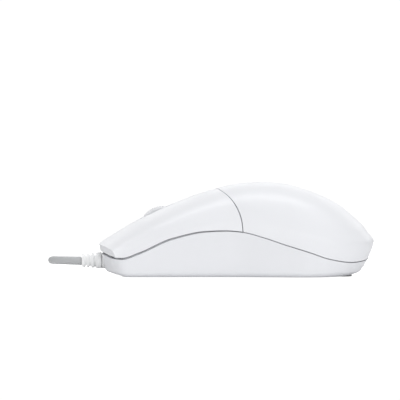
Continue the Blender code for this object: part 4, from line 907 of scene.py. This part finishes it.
def rod_mesh(radius, start, end, steps, centre, axis):
    return turned_mesh([(0, start), (radius, start), (radius, end), (0, end)], steps, centre, axis)


def prism_mesh(outline, low, high):
    work = bmesh.new()
    bottom = [work.verts.new((x, y, low)) for x, y in outline]
    top = [work.verts.new((x, y, high)) for x, y in outline]
    join_rings(bottom, top, work, len(outline))
    work.faces.new(list(reversed(bottom)))
    work.faces.new(top)
    bmesh.ops.recalc_face_normals(work, faces=work.faces)
    return work


def rounded_outline(half_x, half_y, radius, centre=(0, 0), steps=8):
    outline = []
    for corner, (sx, sy) in enumerate(((1, 1), (-1, 1), (-1, -1), (1, -1))):
        for k in range(steps + 1):
            angle = math.pi / 2 * (corner + k / steps)
            outline.append((centre[0] + sx * (half_x - radius) + radius * math.cos(angle),
                            centre[1] + sy * (half_y - radius) + radius * math.sin(angle)))
    return outline


def carve(item, tools, operation="DIFFERENCE"):
    """Cuts or joins shapes and keeps only the result."""
    helpers = []
    for number, work in enumerate(tools):
        data = bpy.data.meshes.new("tool")
        for vert in work.verts:
            vert.co *= MM
        work.to_mesh(data)
        work.free()
        tool = bpy.data.objects.new("tool", data)
        bpy.context.scene.collection.objects.link(tool)
        modifier = item.modifiers.new(f"tool {number}", "BOOLEAN")
        modifier.operation = operation
        modifier.solver = "EXACT"
        modifier.object = tool
        helpers.append(tool)
    result = bpy.data.meshes.new_from_object(item.evaluated_get(bpy.context.evaluated_depsgraph_get()))
    item.modifiers.clear()
    old = item.data
    item.data = result
    bpy.data.meshes.remove(old)
    for tool in helpers:
        data = tool.data
        bpy.data.objects.remove(tool, do_unlink=True)
        bpy.data.meshes.remove(data)
    item.data.shade_smooth()
    item.data.set_sharp_from_angle(angle=math.radians(35))


SEAT = 0.3
CORD_Z = 6.2
WALL_HOLE_RADIUS = 4.1
SCREW_X = along(0.66)
SCREW_HEAD_RADIUS = 2.6
FOOT_SEAT = 1.0
LABEL_SEAT = 1.0
LABEL_CORNER = 1.8
FOOT_ROUNDNESS = 0.85
SENSOR_WINDOW = (6.0, 4.0, 2.0)
BELOW = -1
base = add_object("base_tray", make_base(), base_finish, "chassis")
nose = along(NOSE)
hole_start, hole_end = nose - 2, nose + 9
cuts = [prism_mesh(rounded_outline(*SENSOR_WINDOW), BELOW, FLOOR_TOP + 1),
        rod_mesh(SCREW_HEAD_RADIUS + SEAT, BELOW, FLOOR_TOP + 1, 48, (SCREW_X, 0, 0), "Z"),
        rod_mesh(WALL_HOLE_RADIUS, hole_start, hole_end, 48, (0, 0, CORD_Z), "X"),
        box_mesh((hole_start, -WALL_HOLE_RADIUS, CORD_Z), (hole_end, WALL_HOLE_RADIUS, 14))]
for node, seat in (("front_foot", FOOT_SEAT), ("rear_foot", FOOT_SEAT), ("blank_label", LABEL_SEAT)):
    low, high = box_of(node)
    middle, half = (low + high) / 2, (high - low) / 2 + SEAT
    corner = LABEL_CORNER if node == "blank_label" else half[0] * FOOT_ROUNDNESS
    cuts.append(prism_mesh(rounded_outline(half[0], half[1], corner, middle[:2]), BELOW, seat))
carve(base, cuts)
round_edges(base, 0.22, 2, 55.0)
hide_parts("base_shell")


def make_lap(rings, name, finish, body):
    work = bmesh.new()
    grid = [[work.verts.new(p) for p in ring] for ring in rings]
    for first, second in zip(grid, grid[1:] + grid[:1]):
        join_rings(first, second, work, len(rings[0]))
    bmesh.ops.recalc_face_normals(work, faces=work.faces)
    return add_object(name, work, finish, body)


lap_lip = make_lap(lap, "base_lap_lip", base_finish, "chassis")
notch = WALL_HOLE_RADIUS + SEAT
carve(lap_lip, [box_mesh((hole_start, -notch, 0), (hole_end, notch, 9.8))])
print("base", len(base.data.polygons), "faces")

# %% [markdown]
# ## The wheel
# The tyre is a band of soft rubber with fine ribs across, so that a finger grips it. It could be an array
# of ribs, but one turned mesh whose radius dips between ribs is lighter and stays closed. Under it the hub
# is a glossy moulded spool, and its slots chop the encoder's light.

# %% The tyre and its rubber
TYRE_INNER = 8.0
TYRE_RIBS = 56
RIB_DEPTH = 0.32
STEPS_PER_RIB = 8
TYRE_HALF = ((10.0, 0.8), (9.95, 1.7), (9.82, 2.45), (9.6, 2.95), (9.25, 3.3), (8.8, 3.5), (TYRE_INNER, 3.5))
TYRE_PROFILE = [(radius, -across) for radius, across in reversed(TYRE_HALF)] + list(TYRE_HALF)


def soft_rubber(name, light, dark, rough):
    finish, tree, shader = blank_material(name)
    skin = add_node(tree, "ShaderNodeGroup", node_tree=moulded_skin)
    skin.inputs["Grain Size"].default_value = 0.25
    skin.inputs["Mottle Size"].default_value = 3.0
    tree.links.new(mix_colours(tree, skin.outputs["Mottle"], light, dark), shader.inputs["Base Color"])
    tree.links.new(spread(tree, skin.outputs["Grain"], *rough), shader.inputs["Roughness"])
    add_bump(tree, shader, skin.outputs["Grain"], 0.02)
    return finish


def make_tyre():
    steps = TYRE_RIBS * STEPS_PER_RIB
    work = bmesh.new()
    rings = []
    for radius, across in TYRE_PROFILE:
        tread = np.clip((radius - 9.2) / 0.5, 0, 1) * np.clip((3.1 - abs(across)) / 0.5, 0, 1)
        ring = []
        for k in range(steps):
            angle = 2 * math.pi * k / steps
            wave = 0.5 - 0.5 * math.cos(angle * TYRE_RIBS)
            r = radius - tread * RIB_DEPTH * wave ** 3
            x, z = WHEEL_X + r * math.cos(angle), WHEEL_Z + r * math.sin(angle)
            ring.append(work.verts.new((x, across, z)))
        rings.append(ring)
    for first, second in zip(rings, rings[1:] + rings[:1]):
        join_rings(first, second, work, steps)
    bmesh.ops.recalc_face_normals(work, faces=work.faces)
    return work


tyre_finish = soft_rubber("tyre_rubber_light", (0.80, 0.81, 0.83), (0.74, 0.75, 0.77), (0.5, 0.62))
tyre = add_object("tyre_ribbed", make_tyre(), tyre_finish, "wheel")
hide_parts("wheel_tyre")
print("tyre", TYRE_RIBS, "ribs")

# %% [markdown]
# ## The strain relief
# Where a cord leaves a housing it would crack from bending. A soft boot with ribs spreads the bend. It is
# turned from a profile: four ribs that grow towards the mouse, with a narrow core between them, and a
# flange that sits in the base's wall.

# %% The boot
BOOT_TIP_X = nose - 7.1
BOOT_RIBS = ((0.0, 1.5, 2.85), (2.1, 3.2, 3.0), (3.9, 5.2, 3.2), (5.9, 8.3, 3.45))
BOOT_CORE = 2.25
BOOT_END = nose + 6.0 - BOOT_TIP_X


def boot_profile():
    profile = [(0, 0)]
    for start, end, radius in BOOT_RIBS:
        soft = 0.35
        profile.append((BOOT_CORE if start else radius - 0.9, start))
        for angle in np.linspace(0, math.pi / 2, 5):
            profile.append((radius - soft * (1 - math.sin(angle)), start + soft * (1 - math.cos(angle))))
        for angle in np.linspace(0, math.pi / 2, 5):
            profile.append((radius - soft * (1 - math.cos(angle)), end - soft * (1 - math.sin(angle))))
        profile.append((BOOT_CORE, end))
    profile += [(BOOT_CORE + 0.4, 8.5), (3.3, 8.6), (3.5, 8.8), (3.5, BOOT_END - 2.0), (3.0, BOOT_END - 2.0),
                (3.0, BOOT_END - 0.4), (0, BOOT_END - 0.4)]
    return profile


boot_finish = soft_rubber("boot_vinyl_white", (0.97, 0.975, 0.98), (0.94, 0.945, 0.95), (0.36, 0.46))
boot_mesh = turned_mesh(boot_profile(), 72, (BOOT_TIP_X, 0, CORD_Z), "X")
boot = add_object("boot_ribbed", boot_mesh, boot_finish, "chassis")
carve(boot, [box_mesh((nose + 5, -5.4, CORD_Z - 2.9), (nose + 6.0, 5.4, 9.0))], "UNION")
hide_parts("strain_relief")
print("boot", len(BOOT_RIBS), "ribs")

# %% [markdown]
# ## The plug
# The plug's grip is moulded over the end of the cord, with a neck that widens to the grip and three bars
# above and below. The sheet metal shell is bent from one strip: it shows a seam below and two square holes
# above and below, where the socket's springs catch.

# %% The plug's grip and shell
grip_low, grip_high = box_of("usb_overmould")
shell_low, shell_high = box_of("usb_shell")
PLUG_MIDDLE = (grip_low + grip_high) / 2
GRIP_STATIONS = (
    (0.0, 0.34, 0.52), (0.03, 0.42, 0.60), (0.10, 0.50, 0.70), (0.22, 0.66, 0.86), (0.34, 0.82, 0.95),
    (0.46, 0.93, 0.99), (0.60, 0.99, 1.0), (0.75, 1.0, 1.0), (0.90, 1.0, 1.0), (0.97, 0.985, 0.97),
    (1.0, 0.94, 0.90),
)
GRIP_POWER = 4.5
GRIP_STEPS = 64


def rounded_section(half_y, half_z, power, steps):
    """Points of a superellipse in Y and Z."""
    section = []
    for k in range(steps):
        angle = 2 * math.pi * k / steps
        c, s = math.cos(angle), math.sin(angle)
        y = math.copysign(abs(c) ** (2 / power), c) * half_y
        z = math.copysign(abs(s) ** (2 / power), s) * half_z
        section.append((y, z))
    return section


def lofted(stations, steps):
    """A closed mesh through sections at places along X: (x, half_y, half_z, power) each."""
    work = bmesh.new()
    rings = []
    for x, half_y, half_z, power in stations:
        rings.append([work.verts.new((x, PLUG_MIDDLE[1] + y, PLUG_MIDDLE[2] + z))
                      for y, z in rounded_section(half_y, half_z, power, steps)])
    for first, second in zip(rings, rings[1:]):
        join_rings(first, second, work, steps)
    work.faces.new(rings[0])
    work.faces.new(rings[-1])
    bmesh.ops.recalc_face_normals(work, faces=work.faces)
    return work


grip_size = grip_high - grip_low
long, broad, deep = grip_size
stations = [(grip_low[0] + share * long, broad / 2 * wide, deep / 2 * thick, GRIP_POWER)
            for share, wide, thick in GRIP_STATIONS]
grip = add_object("plug_grip", lofted(stations, GRIP_STEPS), boot_finish, "chassis")
bars = []
for place in (0.62, 0.72, 0.82):
    x = grip_low[0] + place * grip_size[0]
    for z in (grip_low[2] - 1, grip_high[2] - 0.35):
        bars.append(box_mesh((x - 0.5, PLUG_MIDDLE[1] - 4.2, z), (x + 0.5, PLUG_MIDDLE[1] + 4.2, z + 1.35)))
carve(grip, bars)
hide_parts("usb_overmould")

SHEET = 0.3
WINDOW = 2.2
SHELL_POWER = 14
SEAM_HALF, SEAM_DEPTH = 0.06, 0.16
shell_size = shell_high - shell_low
outer = [(shell_low[0] + share * shell_size[0], shell_size[1] / 2, shell_size[2] / 2, SHELL_POWER)
         for share in (0, 0.5, 1)]
inner = [(x + (0.8 if n == 0 else 1.0 if n == 2 else 0.0), y - SHEET, z - SHEET, SHELL_POWER)
         for n, (x, y, z, _) in enumerate(outer)]


DRAWN_SCALE = (60, 2500, 2500)


def plated_steel(name, light, dark, rough):
    """Sheet steel with a bright plating: fine drawn lines along X, which change its tone and shine."""
    finish, tree, shader = blank_material(name, 0.3, 1.0)
    place = add_node(tree, "ShaderNodeTexCoord").outputs["Object"]
    stretch = add_node(tree, "ShaderNodeMapping")
    stretch.inputs["Scale"].default_value = DRAWN_SCALE
    tree.links.new(place, stretch.inputs["Vector"])
    lines = add_node(tree, "ShaderNodeTexNoise", Detail=3.0, Scale=1.0)
    tree.links.new(stretch.outputs["Vector"], lines.inputs["Vector"])
    tree.links.new(mix_colours(tree, lines.outputs["Fac"], light, dark), shader.inputs["Base Color"])
    tree.links.new(spread(tree, lines.outputs["Fac"], *rough), shader.inputs["Roughness"])
    add_bump(tree, shader, lines.outputs["Fac"], 0.004)
    return finish


steel_finish = plated_steel("plated_steel_drawn", (0.72, 0.72, 0.73), (0.58, 0.58, 0.60), (0.22, 0.38))
plug_shell = add_object("plug_shell", lofted(outer, 96), steel_finish, "chassis")
windows = [lofted(inner, 96)]
for side in (-1, 1):
    y = PLUG_MIDDLE[1] + side * 2.9
    x = shell_low[0] + 6.4
    for below, above in ((shell_low[2] - 1, shell_low[2] + 0.6), (shell_high[2] - 0.6, shell_high[2] + 1)):
        windows.append(box_mesh((x - WINDOW / 2, y - WINDOW / 2, below),
                                (x + WINDOW / 2, y + WINDOW / 2, above)))
windows.append(box_mesh((shell_low[0] - 1, PLUG_MIDDLE[1] - SEAM_HALF, shell_low[2] - 1),
                        (shell_high[0] + 1, PLUG_MIDDLE[1] + SEAM_HALF, shell_low[2] + SEAM_DEPTH)))
carve(plug_shell, windows)
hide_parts("usb_shell")
print("plug", grip_size.round(1), shell_size.round(1), "mm")

# %% [markdown]
# ## Ribs and posts inside
# Opened up, the mouse shows what holds it together: each button ends behind the seam in a tongue and a
# knuckle that turns on a rail, and carries a rib that presses its switch. Posts on the tray carry the board
# and take the screws. On the real mouse they are moulded with the shells. Here each is its own object that
# rides on the same body as its shell, and they meet out of sight.

# %% Inner ribs, knuckles and posts
RAIL_X, RAIL_Z = along(-0.09), 27.0
KNUCKLE_RADIUS, KNUCKLE_BORE = 2.9, 1.7
KNUCKLE_LOW, KNUCKLE_HIGH = 4.5, 16.5
RIB_X, RIB_Y, RIB_FOOT = along(-0.534) - 4.98, 14.0, 17.1
RIB_HALF = 1.2
TONGUE_LENGTH = 9.6
POST_RADIUS, POST_BORE = 2.85, 1.35
POST_FOOT = WALL - 0.2
POST_ROUND = 0.3
BOSS_TOP = 10.0
BOSS_RADIUS, BOSS_FLOOR = 4.2, BASE_UNDERSIDE + 3.1


def skin_height(x, y):
    """Height of the top skin over a point of the plan."""
    points = [section_point(x, v, BUTTON_GAP_FRONT) for v in np.linspace(0, 1, 80)]
    return float(np.interp(y, [p[1] for p in points], [p[2] for p in points]))


for name, side in (("left_button", -1), ("right_button", 1)):
    low, high = sorted((side * KNUCKLE_LOW, side * KNUCKLE_HIGH))
    ring = ((KNUCKLE_BORE, low), (KNUCKLE_RADIUS, low), (KNUCKLE_RADIUS, high), (KNUCKLE_BORE, high))
    knuckle = turned_mesh(ring, 48, (RAIL_X, 0, RAIL_Z), "Y")
    knuckle_item = add_object(f"{name}_shell_knuckle", knuckle, top_finish, name)
    reach = box_mesh((RAIL_X - TONGUE_LENGTH, low, RAIL_Z - 1.6),
                     (RAIL_X - KNUCKLE_RADIUS + 0.4, high, RAIL_Z + 0.6))
    carve(knuckle_item, [reach], "UNION")
    top = skin_height(RIB_X - RIB_HALF, RIB_Y + 2) - WALL * 0.95
    near, far = sorted((side * (RIB_Y - 2), side * (RIB_Y + 2)))
    bar = box_mesh((RIB_X - RIB_HALF, near, RIB_FOOT), (RIB_X + RIB_HALF, far, top))
    rib = add_object(f"{name}_shell_rib", bar, top_finish, name)


def add_post(name, x, y, radius, low, high, bore, finish):
    profile = ((bore, low), (radius, low), (radius, high - POST_ROUND),
               (radius - POST_ROUND, high), (bore, high))
    post = add_object(name, turned_mesh(profile, 48, (x, y, 0), "Z"), finish, "chassis")
    return post


screw_low, screw_high = box_of("case_screw")
screw_x = (screw_low[0] + screw_high[0]) / 2
head_radius = (screw_high[0] - screw_low[0]) / 2 + SEAT
boss_profile = (
    (head_radius, POST_FOOT), (BOSS_RADIUS, POST_FOOT), (BOSS_RADIUS, BOSS_TOP - POST_ROUND),
    (BOSS_RADIUS - POST_ROUND, BOSS_TOP), (POST_BORE + SEAT, BOSS_TOP), (POST_BORE + SEAT, BOSS_FLOOR),
    (head_radius, BOSS_FLOOR),
)
boss = turned_mesh(boss_profile, 48, (screw_x, 0, 0), "Z")
boss_item = add_object("screw_boss", boss, base_finish, "chassis")
add_post("cover_screw_post", screw_x, 0, POST_RADIUS, 10.3, 31.0, POST_BORE, top_finish)
for number in (1, 2):
    low, high = box_of(f"board_screw_{number}")
    x, y = (low[:2] + high[:2]) / 2
    add_post(f"board_post_{number}", x, y, POST_RADIUS, POST_FOOT, 7.1, 1.1, base_finish)
EAR_X, EAR_Y, EAR_TOP = -44.275, 7.1, 16.1
EAR_HALF_LONG, EAR_HALF_WIDE = 3.0, 1.0
EAR_HOLE_RADIUS, EAR_HOLE_Z = 1.45, 13.5
BRIDGE_LEG_Y = 19.26
for side in (-1, 1):
    post_name, ear_name = f"bridge_post_{side + 2}", f"carrier_ear_{side + 2}"
    add_post(post_name, RAIL_X, side * BRIDGE_LEG_Y, 2.8, POST_FOOT, 12.0, 1.5, base_finish)
    ear_y = side * EAR_Y
    plate = box_mesh((EAR_X - EAR_HALF_LONG, ear_y - EAR_HALF_WIDE, POST_FOOT),
                     (EAR_X + EAR_HALF_LONG, ear_y + EAR_HALF_WIDE, EAR_TOP))
    ear = add_object(ear_name, plate, base_finish, "chassis")
    carve(ear, [rod_mesh(EAR_HOLE_RADIUS, ear_y - 3, ear_y + 3, 32, (EAR_X, 0, EAR_HOLE_Z), "Y")])
    round_edges(ear, 0.3)
print("posts, ears, knuckles and ribs in place")

# %% [markdown]
# ## Finishes for the rest
# The pieces inside and below keep the moving model's own meshes, because they are plain shapes on the real
# mouse too. They need only rounded edges and a finish with its own pattern. Most are moulded plastic, so a
# table gives each its tones, and only the cord, the board, the paper and the clear pieces get a function of
# their own.

# %% Cord vinyl, board, paper, clear plastic
def cord_vinyl():
    finish, tree, shader = blank_material("cord_vinyl_grey")
    skin = add_node(tree, "ShaderNodeGroup", node_tree=moulded_skin)
    skin.inputs["Grain Size"].default_value = 0.5
    skin.inputs["Mottle Size"].default_value = 6.0
    colour = mix_colours(tree, skin.outputs["Mottle"], (0.52, 0.53, 0.54), (0.46, 0.47, 0.48))
    tree.links.new(colour, shader.inputs["Base Color"])
    tree.links.new(spread(tree, skin.outputs["Mottle"], 0.38, 0.5), shader.inputs["Roughness"])
    add_bump(tree, shader, skin.outputs["Grain"], 0.008)
    return finish


def solder_mask():
    """Green mask over copper. A regular grid of lighter, slightly proud lines stands in for the traces."""
    finish, tree, shader = blank_material("board_green", 0.32)
    place = add_node(tree, "ShaderNodeTexCoord").outputs["Object"]
    bricks = add_node(tree, "ShaderNodeTexBrick", Scale=260.0)
    bricks.inputs["Mortar Size"].default_value = 0.16
    bricks.inputs["Color1"].default_value = (0, 0, 0, 1)
    bricks.inputs["Color2"].default_value = (0, 0, 0, 1)
    bricks.inputs["Mortar"].default_value = (1, 1, 1, 1)
    tree.links.new(place, bricks.inputs["Vector"])
    colour = mix_colours(tree, bricks.outputs["Color"], (0.015, 0.12, 0.05), (0.03, 0.24, 0.10))
    tree.links.new(colour, shader.inputs["Base Color"])
    add_bump(tree, shader, bricks.outputs["Color"], 0.03)
    tree.links.new(spread(tree, bricks.outputs["Color"], 0.28, 0.42, 0, 1), shader.inputs["Roughness"])
    return finish


def paper():
    finish, tree, shader = blank_material("label_sheet", 0.55)
    place = add_node(tree, "ShaderNodeTexCoord").outputs["Object"]
    fibres = add_node(tree, "ShaderNodeTexNoise", Scale=3000.0, Detail=6.0)
    tree.links.new(place, fibres.inputs["Vector"])
    colour = mix_colours(tree, fibres.outputs["Fac"], (0.80, 0.80, 0.78), (0.72, 0.72, 0.70))
    tree.links.new(colour, shader.inputs["Base Color"])
    add_bump(tree, shader, fibres.outputs["Fac"], 0.01)
    return finish


def clear_plastic(name, tint):
    finish, tree, shader = blank_material(name, 0.06)
    shader.inputs["Transmission Weight"].default_value = 0.9
    shader.inputs["IOR"].default_value = 1.49
    skin = add_node(tree, "ShaderNodeGroup", node_tree=moulded_skin)
    colour = mix_colours(tree, skin.outputs["Flow"], tint, tuple(c * 0.93 for c in tint))
    tree.links.new(colour, shader.inputs["Base Color"])
    tree.links.new(spread(tree, skin.outputs["Mottle"], 0.04, 0.10), shader.inputs["Roughness"])
    return finish


# Slot: name, light tone, dark tone, roughness range, grain in mm, its depth in mm, mottle in mm.
MOULDED = {
    "black_plastic": (
        "black_moulded", (0.035, 0.035, 0.04), (0.022, 0.022, 0.026), (0.38, 0.55), 0.2, 0.01, 3.0),
    "white_plastic": ("white_moulded", (0.80, 0.80, 0.79), (0.74, 0.74, 0.73), (0.38, 0.5), 0.25, 0.008, 4.0),
    "bridge_plastic": ("bridge_grey", (0.60, 0.61, 0.63), (0.52, 0.53, 0.55), (0.4, 0.52), 0.3, 0.01, 5.0),
    "hub_plastic": ("hub_grey", (0.72, 0.73, 0.75), (0.66, 0.67, 0.69), (0.22, 0.34), 0.3, 0.006, 4.0),
    "foot_slip_sheet": ("foot_grey", (0.50, 0.50, 0.51), (0.44, 0.44, 0.45), (0.34, 0.5), 0.15, 0.006, 2.0),
    "red_plastic": ("red_moulded", (0.55, 0.05, 0.04), (0.45, 0.035, 0.03), (0.3, 0.45), 0.2, 0.006, 2.0),
    "capacitor_sleeve": (
        "sleeve_blue", (0.07, 0.09, 0.17), (0.05, 0.065, 0.13), (0.22, 0.36), 0.6, 0.01, 2.0),
    "lead_white": ("wire_white", (0.80, 0.80, 0.78), (0.72, 0.72, 0.70), (0.34, 0.45), 0.2, 0.004, 2.0),
    "lead_green": ("wire_green", (0.05, 0.35, 0.10), (0.04, 0.28, 0.08), (0.34, 0.45), 0.2, 0.004, 2.0),
    "lead_red": ("wire_red", (0.60, 0.05, 0.04), (0.50, 0.04, 0.03), (0.34, 0.45), 0.2, 0.004, 2.0),
    "lead_black": ("wire_black", (0.035, 0.035, 0.035), (0.02, 0.02, 0.02), (0.34, 0.45), 0.2, 0.004, 2.0),
}
FINISHES = {slot: moulded_plastic(*row) for slot, row in MOULDED.items()}
FINISHES["cord_vinyl"] = cord_vinyl()
FINISHES["board_laminate"] = solder_mask()
FINISHES["label_paper"] = paper()
FINISHES["plated_steel"] = steel_finish
FINISHES["plated_contact"] = plated_steel(
    "gold_contact", (0.90, 0.70, 0.34), (0.78, 0.58, 0.26), (0.18, 0.32))
FINISHES["clear_plastic"] = clear_plastic("clear_moulded", (0.90, 0.94, 0.95))
FINISHES["led_resin"] = clear_plastic("red_resin", (0.85, 0.12, 0.10))
print("finishes for", len(FINISHES), "slots")

# %% [markdown]
# ## Who wears what
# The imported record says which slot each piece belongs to, so a loop can dress them all. A Bevel modifier
# rounds the edges. How much depends on the piece: stamped contacts are rounded by a few hundredths of a
# millimetre, moulded switch bodies by a third of one.

# %% Dress the pieces
ROUNDED = {
    0.06: ("usb_contact_1", "usb_contact_2", "usb_contact_3", "usb_contact_4", "detent_spring"),
    0.12: ("main_board", "wheel_hub", "button_hinge_bridge", "case_screw", "board_screw_1", "board_screw_2"),
    0.15: ("front_foot", "rear_foot", "usb_tongue", "capacitor"),
    0.2: ("cable_tie", "left_switch_plunger", "right_switch_plunger", "wheel_switch_plunger", "sensor_lens",
          "board_socket"),
    0.25: ("wheel_switch_body", "wheel_carrier", "sensor_chip", "lead_plug"),
    0.3: ("left_switch_body", "right_switch_body", "encoder_emitter", "encoder_receiver", "led_clip"),
}
width_of = {node: width for width, names in ROUNDED.items() for node in names}
dressed = 0
for row in frame["record"]["subparts"]:
    item, slot = nodes[row["node"]], row["material_slot"]
    if slot in FINISHES:
        item.data.materials.clear()
        item.data.materials.append(FINISHES[slot])
        dressed += 1
    if row["node"] in width_of:
        round_edges(item, width_of[row["node"]], 3, 40.0)
cord.data.materials.append(FINISHES["cord_vinyl"])
print("dressed", dressed, "pieces")
